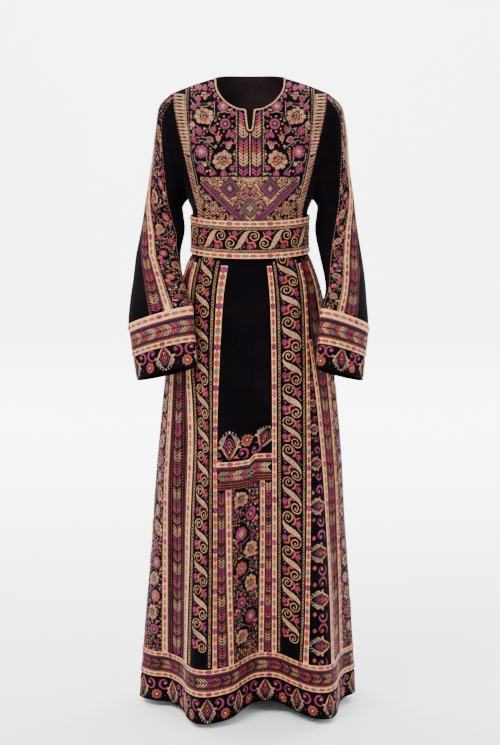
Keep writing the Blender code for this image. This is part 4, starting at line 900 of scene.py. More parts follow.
def add_tape(name, points, normals, finish, on, closed=False):
    """Woven tape raised above its panel, with its two selvedges a little lower."""
    share = np.linspace(-1, 1, points.shape[0 if closed else 1])
    crown = TAPE_LIFT + TAPE_CLOTH * (1.0 - SELVEDGE_DROP * share ** 6)
    crown = crown[:, None, None] if closed else crown[:, None]
    return add_cloth(name, points + normals * crown, normals, finish, "woven_tape", on,
                     thickness=TAPE_CLOTH, closed=closed)


# ================================================================ cloth
def drawn_in(points, top=True, bottom=True, sides=True):
    """Draw the edges of a panel in by half a seam."""
    trimmed = points.copy()
    half = SEAM_GAP / 2.0
    if top:
        trimmed[0] += unit(points[1] - points[0]) * half
    if bottom:
        trimmed[-1] += unit(points[-2] - points[-1]) * half
    if sides:
        trimmed[:, 0] += unit(points[:, 1] - points[:, 0]) * half
        trimmed[:, -1] += unit(points[:, -2] - points[:, -1]) * half
    return trimmed


def lapped(points, normals):
    """Let the first edge of a panel reach under its neighbour, as a sewn seam does."""
    lap = unit(points[:1] - points[1:2]) * SEAM_LAP - normals[:1] * CLOTH * LAP_DEPTH
    return np.concatenate([points[:1] + lap, points]), np.concatenate([normals[:1], normals])


def skirt_patch(first, last, top, bottom, cell=CLOTH_CELL, columns=None):
    """Grid of the skirt between two strips' starts and two levels."""
    levels = down(top, bottom, cell)
    start, end = strip_angle(first, levels), strip_angle(last, levels)
    if columns is None:
        columns = steps_for(math.radians(float((end - start).max())) * SKIRT_RADIUS, cell)
    return skirt_surface(start + (end - start) * shares(columns), levels)


def make_skirt(plain, worked):
    """Panels of the skirt, each between two strips' starts and two levels."""
    panels = (
        ("back_left", "back_left", "floral_left", WAIST, BORDER_TOP, plain),
        ("side_left", "floral_left", "scroll_left", WAIST, BORDER_TOP, worked),
        ("scroll_left", "scroll_left", "tape_inner_left", WAIST, BORDER_TOP, worked),
        ("front_velvet", "tape_inner_left", "scroll_right", WAIST, BAND_TOP, plain),
        ("front_band", "tape_inner_left", "scroll_right", BAND_TOP, BAND_BOTTOM, worked),
        ("front_lower", "tape_inner_left", "scroll_right", BAND_BOTTOM, BORDER_TOP, worked),
        ("scroll_right", "scroll_right", "wedge", WAIST, BORDER_TOP, worked),
        ("side_right", "tape_wedge_right", "back_right", WAIST, BORDER_TOP, worked),
        ("back_right", "back_right", "end", WAIST, BORDER_TOP, plain),
        ("wedge_right", "wedge", "tape_wedge_right", WEDGE_TIP, BORDER_TOP, plain))
    for name, first, last, top, bottom, finish in panels:
        points, normals = skirt_patch(first, last, top, bottom)
        points = drawn_in(points)
        if name == "back_left":
            points, normals = (part.swapaxes(0, 1) for part in
                               lapped(points.swapaxes(0, 1), normals.swapaxes(0, 1)))
        slot = "plain_velvet" if finish is plain else "embroidered_velvet"
        hangs, held = ("belt", "gathered") if top != WEDGE_TIP else ("skirt_scroll_right", "hung")
        add_cloth("skirt_" + name, points, normals, finish, slot, hangs, held=held)


def make_skirt_tapes(border, tape):
    """Tapes down the skirt and the two along its cross band."""
    for name, top in SKIRT_TAPES.items():
        points, normals = skirt_patch(name, strip_after(name), top, BORDER_TOP,
                                      columns=TAPE_COLUMNS)
        add_tape(name, drawn_in(points), normals, tape, "skirt_scroll_left")
    for name, top, bottom, finish in (("tape_band_top", BAND_TOP, BAND_TAPE, tape),
                                      ("tape_band_bottom", BAND_LOWER_TAPE, BAND_BOTTOM, border)):
        add_tape(name, *skirt_patch("chevron_mid_left", "tape_inner_right", top, bottom,
                                    cell=(top - bottom) / TAPE_COLUMNS), finish,
                 "skirt_front_band")


def hem_patch(start, end, top, bottom, cell=CLOTH_CELL):
    """Grid round the hem, between two angles in degrees that may pass the back."""
    columns = steps_for(math.radians(end - start) * SKIRT_RADIUS)
    return skirt_surface(start + (end - start) * shares(columns), down(top, bottom, cell))


def make_hem(border, tape):
    """Border round the hem, in a front and a back piece, and its two tapes."""
    left, right = (float(strip_angle(name, BORDER_TOP / 2))
                   for name in ("floral_left", "back_right"))
    for name, start, end in (("hem_border_front", left, right),
                             ("hem_border_back", right, left + 360.0)):
        points, normals = hem_patch(start, end, BORDER_TOP, 0.0)
        add_cloth(name, drawn_in(points, bottom=False), normals, border, "embroidered_border",
                  "skirt_front_lower")
    for name, top, bottom in HEM_TAPES:
        points, normals = hem_patch(-180.0, 180.0, top, bottom, TAPE_ROW)
        add_tape(name, points[:, :-1], normals[:, :-1], tape, "hem_border_front", closed=True)


def make_belt(finish, tape):
    angles = np.linspace(BELT_START, BELT_END, BELT_COLUMNS + 1)[None, :]
    add_cloth("belt", *belt_surface(angles, down(BELT_HEIGHT, 0)), finish, "belt_cloth",
              "bodice_back", thickness=BELT_CLOTH, held="stretched")
    for name, low in (("tape_belt_top", BELT_HEIGHT - BELT_TAPE), ("tape_belt_bottom", 0.0)):
        points, normals = belt_surface(angles, down(low + BELT_TAPE, low,
                                                    BELT_TAPE / TAPE_COLUMNS))
        add_cloth(name, points + normals * (TAPE_LIFT + TAPE_CLOTH), normals, tape,
                  "woven_tape", "belt", thickness=TAPE_CLOTH, held="stretched")


def bodice_creased(points, normals, creases):
    """Creases placed by X and height, kept clear of the seams by their own fading ends."""
    rise = crease_height(creases, points[..., 0], points[..., 2], 1.0)
    return points + normals * rise[..., None], normals


def make_bodice(plain, worked):
    """Front panels, side pieces and back; returns the front's grids for its embroidery."""
    fronts = []
    for name, first, end in (("waist_panel", 0, YOKE_ROW),
                             ("chest_panel", YOKE_ROW, len(FRONT_ROWS) - 1)):
        points, normals = bodice_creased(*both_halves(*bodice_grid("panel", first, end)),
                                         FRONT_CREASES)
        middle = points.shape[1] // 2 - 1
        add_cloth(name, points, normals, worked, "embroidered_velvet", "bodice_back",
                  split=middle)
        fronts.append((points, middle))
    for side, sign in (("left", -1.0), ("right", 1.0)):
        points, normals = bodice_creased(*mirrored(sign, *bodice_grid("side", 0, SIDE_TIP_ROW)),
                                         FRONT_CREASES)
        add_cloth("bodice_side_" + side, points, normals, plain, "plain_velvet", "bodice_back")
        fronts.append((points, None))
    points, normals = bodice_creased(*both_halves(*bodice_grid("back", 0, len(BACK_ROWS) - 1)),
                                     BACK_CREASES)
    add_cloth("bodice_back", points, normals, plain, "plain_velvet", "chest_panel",
              split=points.shape[1] // 2 - 1)
    return fronts, points[-1, np.abs(points[-1, :, 0]) < NECK_HALF_WIDTH + 0.001]


def make_cord(name, path, radius, finish):
    """Three-ply cord along a path, whose corners are eased first."""
    lengths = lengths_along(path)
    at = np.linspace(0, lengths[-1], int(lengths[-1] / PIPING_STEP))
    line = np.stack([np.interp(at, lengths, path[:, k]) for k in range(3)], axis=1)
    for _ in range(CORD_EASING):
        line[1:-1] = (line[:-2] + 2 * line[1:-1] + line[2:]) / 4
    along = unit(np.gradient(line, axis=0))
    side = unit(np.cross(along, (0.0, -1.0, 0.3)))
    up = np.cross(side, along)
    turns = np.arange(PIPING_SIDES) * 2 * math.pi / PIPING_SIDES
    twist = 1 + PIPING_TWIST * np.cos(3 * turns[None, :] - at[:, None] / PIPING_LAY)
    ring = side[:, None] * np.cos(turns)[:, None] + up[:, None] * np.sin(turns)[:, None]
    tube = line[:, None] + ring * radius * twist[..., None]
    rows, columns = tube.shape[:2]
    faces = grid_cells(rows, columns, closed=True).tolist()
    faces += [tuple(range(columns))[::-1], tuple(range((rows - 1) * columns, rows * columns))]
    thing = add_piece(name, tube.reshape(-1, 3), faces, grid_places(rows, columns), finish,
                      "neck_piping", sharp=False)
    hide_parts("neck_piping")


def make_piping(fronts, back_neck, gold, dark):
    """Couched gold cord along the front of the neck and the slit, dark binding behind."""
    points, middle = fronts[1]
    across, level = np.array(SLIT_CORD).T / 1000
    slit, normals = Front(fronts).place(across * 0 + SLIT_CORNER, level)
    slit = slit + normals * SLIT_CORD_LIFT
    slit[:, 0] = across
    halves = []
    for column, sign in ((middle, -1.0), (middle + 1, 1.0)):
        neck = points[:, column]
        halves.append(np.concatenate([*mirrored(sign, slit),
                                      neck[np.abs(neck[:, 0]) > SLIT_CORNER]]))
    make_cord("neck_cord", np.concatenate([halves[0][:0:-1], halves[1]]), PIPING_RADIUS, gold)
    make_cord("neck_binding_back", back_neck, BINDING_RADIUS, dark)


def make_sleeve(sleeve, plain, worked, border, tape):
    """Embroidered panel, velvet, cuff and tapes of one sleeve."""
    side, keys = sleeve.side, sleeve.keys
    for name, ends, finish, slot in (
            ("panel_", ("back", "front", SLEEVE_PANEL_COLUMNS), worked, "embroidered_velvet"),
            ("velvet_", ("front", "back", SLEEVE_VELVET_COLUMNS), plain, "plain_velvet")):
        points, normals = sleeve.between(*ends, down(SEAM_GAP, sleeve.cuff))
        points, normals = lapped(drawn_in(points, top=False), normals)
        add_cloth("sleeve_" + name + side, points, normals, finish, slot, "chest_panel")
    points, normals = sleeve.between("tape_back", "tape_front", TAPE_COLUMNS,
                                     down(keys[SLEEVE_TAPE_RING], sleeve.cuff))
    add_tape("tape_sleeve_" + side, drawn_in(points), normals, tape, "sleeve_panel_" + side)
    around = np.linspace(-180, 180, CUFF_COLUMNS + 1)[None, :-1]
    points, normals = sleeve.surface(around, down(sleeve.cuff, sleeve.length))
    add_cloth("cuff_" + side, drawn_in(points, bottom=False, sides=False), normals, border,
              "embroidered_border", "sleeve_velvet_" + side, closed=True)
    for name, (top, bottom) in zip(("tape_cuff_top_", "tape_cuff_lower_"), CUFF_TAPE_RINGS):
        along = down(keys[top], keys[bottom], (keys[bottom] - keys[top]) / TAPE_COLUMNS)
        add_tape(name + side, *sleeve.surface(around, along), tape, "cuff_" + side, closed=True)


# ================================================================ threads
STITCH_FACES = np.array([(0, 1, 6), (0, 6, 5), (1, 2, 7), (1, 7, 6), (2, 3, 7), (3, 4, 7),
                         (5, 6, 7), (5, 7, 4)])
CORD_FACES = np.array([(0, 1, 4), (0, 4, 3), (1, 2, 5), (1, 5, 4)])
WORK = defaultdict(list)      # what has been sewn: group, slot and thread


class Needle:
    """Draws on a flat chart, in millimetres, and gathers what it draws by thread."""

    def __init__(self, heaps=None, frame=None):
        self.heaps = defaultdict(list) if heaps is None else heaps
        self.frame = np.diag([0.001, 0.001, 1.0]) if frame is None else frame
        self.size = math.sqrt(abs(np.linalg.det(self.frame[:2, :2])))

    def at(self, x, y, turn=0.0, size=1.0, flip=1):
        """The same needle on a chart of its own, moved, turned, sized and flipped."""
        c = math.cos(math.radians(turn)) * size
        s = math.sin(math.radians(turn)) * size
        move = np.array([[c * flip, -s, x], [s * flip, c, y], [0.0, 0.0, 1.0]])
        return Needle(self.heaps, self.frame @ move)

    def on_chart(self, points):
        return np.atleast_2d(np.asarray(points, float)) @ self.frame[:2, :2].T + self.frame[:2, 2]

    def cord(self, points, width, tone, layer=0, blunt=0.12):
        """Rounded cord along a line; its width may change, and its ends are blunt or thin."""
        line = self.on_chart(points)
        count = len(line)
        share = np.linspace(0, 1, count)
        ends = np.clip(np.minimum(share, 1 - share) / blunt, CORD_TIP, 1) if blunt else 1.0
        width = np.asarray(width, float) * np.ones(count) * ends * self.size
        side = beside(np.gradient(line, axis=0), width[:, None] / 2)
        places = np.stack([line - side, line, line + side], axis=1).reshape(-1, 2)
        crest = np.minimum(width * THREAD_ROUND, THREAD_HIGHEST)
        lifts = (crest[:, None] * (0, 1, 0) + layer * LAYER).reshape(-1)
        faces = np.concatenate([3 * np.arange(count - 1)[:, None] + tri for tri in CORD_FACES])
        self.heaps[tone].append((places, lifts, faces))

    def stitches(self, starts, ends, width, tone, layer=0):
        """Satin stitches, each a rounded bar with pointed ends."""
        a, b = self.on_chart(starts), self.on_chart(ends)
        width = np.asarray(width, float) * np.ones(len(a)) * self.size
        side = beside(b - a, width[:, None] / 2)
        near, far = a + (b - a) * STITCH_TAPER, a + (b - a) * (1 - STITCH_TAPER)
        places = np.stack([a, near - side, far - side, b, far + side, near + side, near, far],
                          axis=1).reshape(-1, 2)
        crest = np.minimum(width * THREAD_ROUND, THREAD_HIGHEST)[:, None]
        lifts = (crest * (0, 0, 0, 0, 0, 0, 1, 1) + layer * LAYER).reshape(-1)
        faces = (8 * np.arange(len(a))[:, None, None] + STITCH_FACES).reshape(-1, 3)
        self.heaps[tone].append((places, lifts, faces))

    def fork(self, start, end, width, tone, layer=0):
        """Two stitches, one to each side of the line ahead; both ends are (ahead, aside)."""
        self.stitches([(start[0], -start[1]), start], [(end[0], -end[1]), end], width, tone,
                      layer)

    def dots(self, centres, radius, tone, layer=0):
        """Knots, beads or sequins."""
        centres = self.on_chart(centres)
        turns = np.arange(DOT_SIDES) * 2 * math.pi / DOT_SIDES
        reach = radius * self.size
        ring = np.concatenate([[(0.0, 0.0)], pairs(np.cos(turns), np.sin(turns))])
        places = (centres[:, None] + ring * reach).reshape(-1, 2)
        lift = min(reach * DOT_HEIGHT, THREAD_HIGHEST)
        lifts = np.tile([lift] + [0.0] * DOT_SIDES, len(centres)) + layer * LAYER
        fan = np.array([(0, 1 + k, 1 + (k + 1) % DOT_SIDES) for k in range(DOT_SIDES)])
        faces = ((DOT_SIDES + 1) * np.arange(len(centres))[:, None, None] + fan).reshape(-1, 3)
        self.heaps[tone].append((places, lifts, faces))


def sew(group, slot, needle, place, raised=0.0):
    """Lay what a needle has drawn on its chart onto the cloth."""
    for tone, parts in needle.heaps.items():
        counts = np.cumsum([0] + [len(places) for places, _, _ in parts])
        flat = np.concatenate([places for places, _, _ in parts])
        lifts = np.concatenate([lift for _, lift, _ in parts])
        faces = np.concatenate([part[2] + start for part, start in zip(parts, counts)])
        points, normals = place(flat[:, 0], flat[:, 1])
        solid = points + normals * (THREAD_LIFT + raised + lifts)[:, None]
        a, b, c = (solid[faces[:, k]] for k in range(3))
        turned = (np.cross(b - a, c - a) * normals[faces[:, 0]]).sum(axis=1) < 0
        faces[turned] = faces[turned][:, ::-1]
        spread = (flat - flat.min(axis=0)) / np.maximum(np.ptp(flat, axis=0), 1e-6)
        WORK[group, slot, tone].append((solid, faces, spread))


def sew_on_tape(needle, place):
    sew("tapes", "woven_tape", needle, place, TAPE_LIFT + TAPE_CLOTH)


def finish_work(threads):
    """Make one mesh of each thread in each group; every chart has its own part of the map."""
    for (group, slot, tone), parts in WORK.items():
        counts = np.cumsum([0] + [len(solid) for solid, _, _ in parts])
        faces = np.concatenate([faces + start for (_, faces, _), start in zip(parts, counts)])
        spread = np.concatenate([(spread * (MAP_FILL, 1.0) + (k, 0.0)) / (len(parts), 1.0)
                                 for k, (_, _, spread) in enumerate(parts)])
        add_piece(f"threads_{group}_{tone}", np.concatenate([part[0] for part in parts]),
                  faces.tolist(), spread, threads[tone], slot, sharp=False)


# ================================================================ flowers and leaves
def arc(radius, start, end, count=14, grow=0.0, x=0.0, y=0.0):
    """Points of an arc between two angles; its radius may grow by an amount on the way."""
    turns = np.radians(np.linspace(start, end, count))
    reach = radius + np.linspace(0, grow, count)
    return pairs(x + reach * np.cos(turns), y + reach * np.sin(turns))


def petals(n, count, inner, outer, width, tone, start=0.0, layer=0):
    turns = np.radians(start + np.arange(count) * 360.0 / count)
    away = pairs(np.cos(turns), np.sin(turns))
    n.stitches(away * inner, away * outer, width, tone, layer)


def great_rose(n):
    """Open rose, 46 by 40: parted gold petals, coral crescents, dark heart off its middle."""
    for k in range(9):
        turn = k * 40 + 8
        reach = 1.0 + 0.14 * math.cos(2 * math.radians(turn) + 0.6) + 0.07 * (k % 2)
        m = n.at(0, 0, turn)
        m.stitches([(8.0, -2.2), (7.8, -0.7), (7.8, 0.7), (8.0, 2.2)],
                   [(16.6 * reach, -5.2), (19.8 * reach, -2.2), (19.8 * reach, 2.2),
                    (16.6 * reach, 5.2)], 4.3, "gold" if k % 3 else "tan")
        m.cord([(8.6, -3.8), (13.4 * reach, -5.2), (18.6 * reach, -6.9)], 1.7, "black", 2, 0)
        m.cord([(12.6 * reach, 2.0), (16.2 * reach, 1.2), (16.8 * reach, -1.6)], 1.2, "plum", 2)
    swell = 0.35 + 0.75 * np.sin(np.linspace(0, np.pi, 18))
    for start, end, radius, wide in ((-215, -40, 11.2, 6.6), (10, 80, 12.6, 4.6),
                                     (95, 130, 13.2, 4.0), (-30, 0, 13.4, 3.6)):
        n.cord(arc(1.0, start, end, 18) * (radius, radius * 0.84), wide * swell, "coral", 2, 0.1)
    n.dots([(-9.6, 2.2), (-7.2, -6.6), (1.6, -9.4), (10.2, -3.4), (9.0, 6.8)], 1.9, "black", 4)
    n.cord(arc(5.6, 0, 360, 16, x=1.8, y=2.2), 3.4, "black", 2, 0)
    for turn, reach in ((200, 8.2), (262, 7.4), (320, 6.4), (18, 5.4), (75, 5.4), (135, 6.4)):
        n.at(1.2, 1.4, turn).fork((2.0, 0.8), (reach, 1.4), 1.6, "gold", 3)
    n.dots((1.8, 2.2), 2.2, "black", 4)


def blossom(n, tone="magenta"):
    """Loose flower of uneven petals round a small knot, 14 across."""
    for turn, reach, wide in ((90, 7.4, 3.0), (18, 6.2, 2.6), (162, 6.2, 2.6), (234, 7.0, 2.4),
                              (306, 5.2, 2.4)):
        n.at(0, 0, turn).fork((1.6, 0.9), (reach, wide * 0.62), wide, tone)
    n.dots((0, 0), 1.3, "gold", 1)
    n.dots([(-2.6, 5.0), (4.6, -2.4)], 0.8, "plum", 1)


def daisy(n, heart="magenta"):
    """Magenta flower with a pale heart in a ring of parted tan petals, 21 across."""
    for k in range(9):
        m = n.at(0, 0, k * 40)
        m.fork((3.0, 0.7), (7.2, 1.3), 1.9, heart)
        m.stitches((8.4, 0), (10.6, 0), 2.2, "coral" if k in (3, 4) else "gold")
    n.dots(arc(1.6, 0, 300, 6), 0.8, "grey", 1)
    n.dots((0, 0), 0.9, "gold", 2)


def rosette(n, tone="coral", heart="gold"):
    """Small round flower, 15 across."""
    petals(n, 8, 2.4, 7.4, 3.6, tone)
    petals(n, 8, 4.6, 7.8, 1.0, "plum", 22)
    n.dots(arc(2.5, 0, 300, 6), 1.1, heart, 1)
    n.dots((0, 0), 1.2, "cream", 2)


def tulip(n, tone="magenta"):
    """Bud that opens upwards, 12 high."""
    n.stitches([(0, 0)] * 3, [(-4.2, 8.0), (0, 10.5), (4.2, 8.0)], 3.6, tone)
    n.cord([(-3.8, 4.4), (-2.4, 0.6), (0, -1.2), (2.4, 0.6), (3.8, 4.4)], 1.5, "gold", 1)
    n.dots((0, 4.0), 1.2, "gold", 2)


def leaf(n, tone="gold", count=5, length=13.0, width=6.0):
    """Leaf that grows upwards from its stalk, in slanting satin stitches."""
    share = (np.arange(count) + 0.5) / count
    rib = pairs(0.0, share * length * 0.82)
    reach = width / 2 * np.sin(np.pi * (0.18 + 0.74 * share))
    for side in (-1, 1):
        n.stitches(rib, rib + pairs(side * reach, 0.24 * length), length / count * 0.85, tone)


def drop(n, tone):
    """Gold drop with a leaf in it, 17 high."""
    n.cord([(0, -8), (5, -3), (5.4, 3), (0, 9), (-5.4, 3), (-5, -3), (0, -8)], 1.8, "gold",
           blunt=0)
    leaf(n.at(0, -6), tone, 5, 12.0, 8.0)


def strands(n, line, width, tone, count=4, layer=0, swelling=0.7):
    """A broad leaf shape couched in parallel cords, widest in its middle."""
    line = np.asarray(line, float)
    swell = (np.sin(np.pi * np.linspace(0, 1, len(line))) ** swelling)[:, None]
    for k in range(count):
        off = (k + 0.5) / count - 0.5
        n.cord(line + beside(np.gradient(line, axis=0), off * width * swell),
               width / count * (0.35 + 0.75 * swell[:, 0]), tone, layer)


def antler(n, points, fork):
    """Small coral branch along a line, with a side twig."""
    n.cord(smooth(points, 14), 4.6, "coral", 0, blunt=0.25)
    start, end = np.array(points[fork[0]], float), np.array(fork[1:])
    n.cord([start, (start + end) / 2, end], 4.0, "coral", 1, blunt=0.25)


# ================================================================ large motifs
def scroll(n):
    """One repeat of the running scroll, 67 high and 47 wide.

    A broad leaf falls from the upper left to the lower right. Its thin ends wind into a
    spiral above it on the left and into one below it on the right, half a turn apart.
    """
    angles = np.linspace(20, -520, 40)
    reach, turns = np.interp(-angles, *zip(*SPIRAL_REACH)), np.radians(angles)
    for turn in (0, 180):
        m = n.at(0, 0, turn)
        m.cord(pairs(8.4 + reach * np.cos(turns), -26 + reach * np.sin(turns)),
               np.linspace(2.2, 1.9, 40), "tan", 1, blunt=0.03)
        m.dots((8.4, -26), 1.4, "gold", 2)
    strands(n, smooth(SCROLL_LEAF, 26), 12.0, "tan", 6, 0, 2.0)
    for points, fork in ((((-20, -28.5), (-12.9, -27.5), (-6.1, -24.2), (-7.3, -15.5),
                           (-2.4, -10.2), (6.0, -12.4)), ((-7.3, -15.5), (-13, -11))),
                         (((-1.2, 35), (3.1, 29), (7.3, 23.7), (6.1, 16.8), (-1, 11.0)),
                          ((7.3, 23.7), (13.5, 26.5), (20, 29.5)))):
        n.cord(smooth(points, 18), 4.8, "coral", 0, blunt=0.14)
        n.cord(fork, 4.2, "coral", 1, blunt=0.3)
    for x, y, turn in ((-16.4, -17.5, 20), (15.2, 15.4, -15)):
        blossom(n.at(x, y, turn, 1.08))
    n.dots([(14.6, 8.4), (20.4, 1.4), (-19.4, 2.5)], 1.5, "grey")
    n.stitches([(-19.0, -2.0), (18.8, 3.4)], [(-13.4, -6.6), (14.0, 6.0)], 3.0, "magenta")


def crown(n):
    """Palmette, 44 wide and 52 high: pointed gold hood over a drop, feathers below it."""
    for side in (-1, 1):
        m = n.at(0, 0, flip=side)
        m.cord([(0, 27), (4.6, 20.5), (9.2, 13.0), (11.8, 6.6), (14.2, 2.6)],
               (1.8, 2.4, 3.0, 3.8, 3.4), "gold", 1, blunt=0.06)
        strands(m, [(12.0, 8.5), (15.4, 3.0), (18.6, 2.6), (21.6, 6.6)], 5.2, "tan", 3, 1)
        strands(m, [(12.4, 4.0), (15.4, -2.4), (17.6, -6.8), (17.4, -12.0)], 4.4, "gold", 2)
        strands(m, [(11.8, 1.0), (12.8, -7.0), (9.6, -14.6), (3.8, -20.4)], 6.4, "grey", 3)
        for x, y, turn in ((15.2, -12.4, 30), (11.8, -18.4, 24), (6.6, -22.6, 10)):
            leaf(m.at(x - 2.0, y + 4.4, 180 + turn, 0.42), "grey", 3)
            m.dots((x - 0.4, y - 1.8), 1.2, "gold", 1)
        m.cord([(0, 21.5), (4.4, 14.0), (8.2, 6.0), (8.6, -1.5), (5.0, -9.0), (0, -13.6)], 1.4,
               "magenta", 1, 0)
        m.stitches([(1.0, 15.0), (3.0, 10.0), (5.6, 4.2)], [(0.8, 9.2), (1.6, 3.8), (3.6, -1.0)],
                   2.6, "coral", 1)
        m.stitches([(5.8, -0.4), (4.2, -5.0), (1.8, -8.6)], [(2.2, 1.8), (1.6, -2.2), (0.6, -4.6)],
                   2.5, "magenta", 1)
    n.dots([(0, 11.5), (0, 1.2)], 1.3, "cream", 2)
    n.dots([(2.6, -2.8), (-2.6, -2.8), (0, -6.4)], 1.0, "gold", 2)
    n.stitches((0, -27.5), (0, -21.5), 3.6, "tan")


def hook(n):
    """Paisley-like C-curl, 30 across: broad magenta head, tail that winds in, pale beads."""
    n.cord(arc(12.2, -84, 165, 26, grow=-1.8),
           np.concatenate([np.linspace(1.6, 5.6, 14), np.linspace(5.6, 4.0, 12)]),
           "magenta", blunt=0.06)
    n.cord(arc(5.8, 150, 430, 16, grow=-2.6, x=-4.0, y=0.6), 2.2, "magenta", 1)
    n.cord(arc(12.0, -40, 140, 16, grow=-1.2), 0.9, "plum", 1)
    n.dots(arc(12.4, -30, 130, 9, grow=-1.2), 0.8, "coral", 2)
    n.dots(arc(2.3, 30, 270, 3, x=-3.6), 1.1, "grey", 1)
    n.dots((-3.8, 0.2), 1.4, "cream", 2)


def wheel(n):
    """Round coral flower, 24 across: ten petals, a plum ring and a pale heart."""
    for k in range(10):
        m = n.at(0, 0, k * 36)
        m.fork((5.0, 1.3), (10.8, 1.9), 2.7, "coral")
        m.dots((11.2, 0), 1.0, "tan", 1)
    n.cord(arc(5.4, 0, 360, 24), 1.9, "plum", 1, 0)
    petals(n, 8, 1.8, 4.6, 2.3, "coral", 12, 1)
    n.dots((0, 0), 2.1, "cream", 2)


def diamond(n, reach, tones):
    """Upright diamond in outlines of four tones, with a long grey and gold heart."""
    edge, line, field, middle = tones
    for share, width, tone in ((1.0, 2.4, edge), (0.78, 6.0, field), (0.5, 7.0, middle),
                               (0.85, 1.9, line), (0.68, 1.7, line), (0.51, 1.5, line)):
        r = reach * share
        n.cord(straights([(0, r * 1.08), (r, 0), (0, -r * 1.08), (-r, 0), (0, r * 1.08)]),
               width, tone, 3 if tone == line else 2, 0)
    for x, high in ((-3.6, 3.4), (-1.2, 7.4), (1.2, 7.4), (3.6, 3.4)):
        n.stitches((x, -high), (x, high), 2.3, "grey", 3)
    n.stitches([(-2.4, -3.0), (0, -5.0), (2.4, -3.0)], [(-2.4, 3.0), (0, 5.0), (2.4, 3.0)], 1.3,
               "gold", 5)


def straights(corners, steps=5):
    """A line through corners with a few more points on each straight."""
    corners = np.array(corners, float)
    parts = [np.linspace(a, b, steps)[:-1] for a, b in zip(corners, corners[1:])]
    return np.concatenate([*parts, corners[-1:]])


# ================================================================ rows and borders, along Y
def bead_row(n, x, low, high, tones, pitch=3.6, radius=1.15):
    """Row of knots between two heights; the tones take turns."""
    ys = np.arange(high, low, -pitch)
    for k, tone in enumerate(tones):
        if len(ys[k::len(tones)]):
            n.dots(pairs(x, ys[k::len(tones)]), radius, tone)


def edge_line(n, x, low, high, tone, width=1.1, step=9.0):
    """Straight couched line; it has enough points to follow the cloth."""
    ys = np.linspace(high, low, max(3, int((high - low) / step)))
    n.cord(pairs(x, ys), width, tone, blunt=0)


def chevrons(n, left, right, low, high, tones, pitch=12.0, drop=0.92, shortest=None, full=1.0):
    """Bands that point down, each arm in two slanting rows of satin stitch.

    shortest gives how far from the middle an arm may start at a height, left of it.
    """
    middle, half = (left + right) / 2, (right - left) / 2
    for k, top in enumerate(np.arange(high, low + half * drop, -pitch / 2)):
        tip, tone = top - half * drop, tones[k % len(tones)]
        for row in (0.0, CHEVRON_ROW * full):
            reach = half if shortest is None else min(half, middle - shortest(top - row))
            starts = [(middle - reach, tip + reach * drop - row)] if reach > 1.0 else []
            for start in starts + [(right, top - row)]:
                n.stitches(start, (middle, tip - row), CHEVRON_STITCH * full, tone)


def lattice(n, x, low, high, width=5.8, pitch=7.4, thick=1.15):
    """Net of crossed cords."""
    ys = np.arange(high - 1, low + pitch, -pitch)
    for layer, side, tone in ((0, -1, "tan"), (1, 1, "gold")):
        n.stitches(pairs(x - side * width / 2, ys), pairs(x + side * width / 2, ys - pitch),
                   thick, tone, layer)


def tape_marks(n, low, high, pitch=18.0, length=16.0, width=7.4):
    """Rounded dashes worked along the middle of a tape, with a fine line on each side."""
    for k, y in enumerate(np.arange(high - pitch / 2, low + length / 2, -pitch)):
        tone = MARK_TONES[k % len(MARK_TONES)]
        n.cord(pairs(0.0, np.linspace(y + length / 2, y - length / 2, 6)),
               width * (1.12 if tone == "magenta" else 0.86), tone, blunt=0.1)
        n.stitches([(-0.8, y - pitch / 2 + 1.8), (0.8, y - pitch / 2 + 1.8)],
                   [(-0.8, y - pitch / 2 - 1.8), (0.8, y - pitch / 2 - 1.8)], 1.4, "rust")
    for x in (-5.0, 5.0):
        edge_line(n, x, low, high, "rust", 0.7)


def leftward(n, y=0.0):
    """Turned so that a border runs along the chart and what points down points left."""
    return n.at(0, y, -90, flip=-1)


def rightward(n, y=0.0):
    """The same, but it points right, and its heights count from the right as negative."""
    return n.at(0, y, 90)


def running_border(n, low, high, start, end, tones, turned, full=1.0):
    """Knots, dark line, sideways chevrons, dark line and knots, between two heights."""
    for y, tone in ((high - 2.6, "magenta"), (high - 6.2, "plum"), (low + 2.6, "coral"),
                    (low + 5.6, "plum")):
        n.dots(pairs(np.arange(start, end, 3.8), y), 1.55, tone)
    for y in (high - 9.0, low + 8.2):
        n.cord(pairs(np.arange(start, end, 8.0), y), 1.2, "black", blunt=0)
    ends = (-end, -start) if turned is rightward else (start, end)
    chevrons(turned(n), low + 8.4, high - 9.2, *ends, tones, 12.8, 0.95, full=full)


def border_unit(n, size=1.0, wide=1.0):
    """One repeat of the black motif band: palmette, two curls and a flower."""
    m = n.at(0, 0, 0, size)
    crown(n.at(0, 0, 0, size, flip=wide))
    hook(m.at(26 * wide, 13, -58))
    hook(m.at(-26 * wide, 13, 58, flip=-1))
    wheel(m.at(43 * wide, -12))
    n.dots([(25 * size * wide, -14 * size), (-26 * size * wide, -16 * size)], 1.2, "magenta")


def repeats(chart):
    """Middles of the motif band's repeats round a chart, and the step between them."""
    units = round((chart.end - chart.start) / BORDER_REPEAT)
    step = (chart.end - chart.start) / units
    return chart.start + (np.arange(units) + 0.5) * step, step


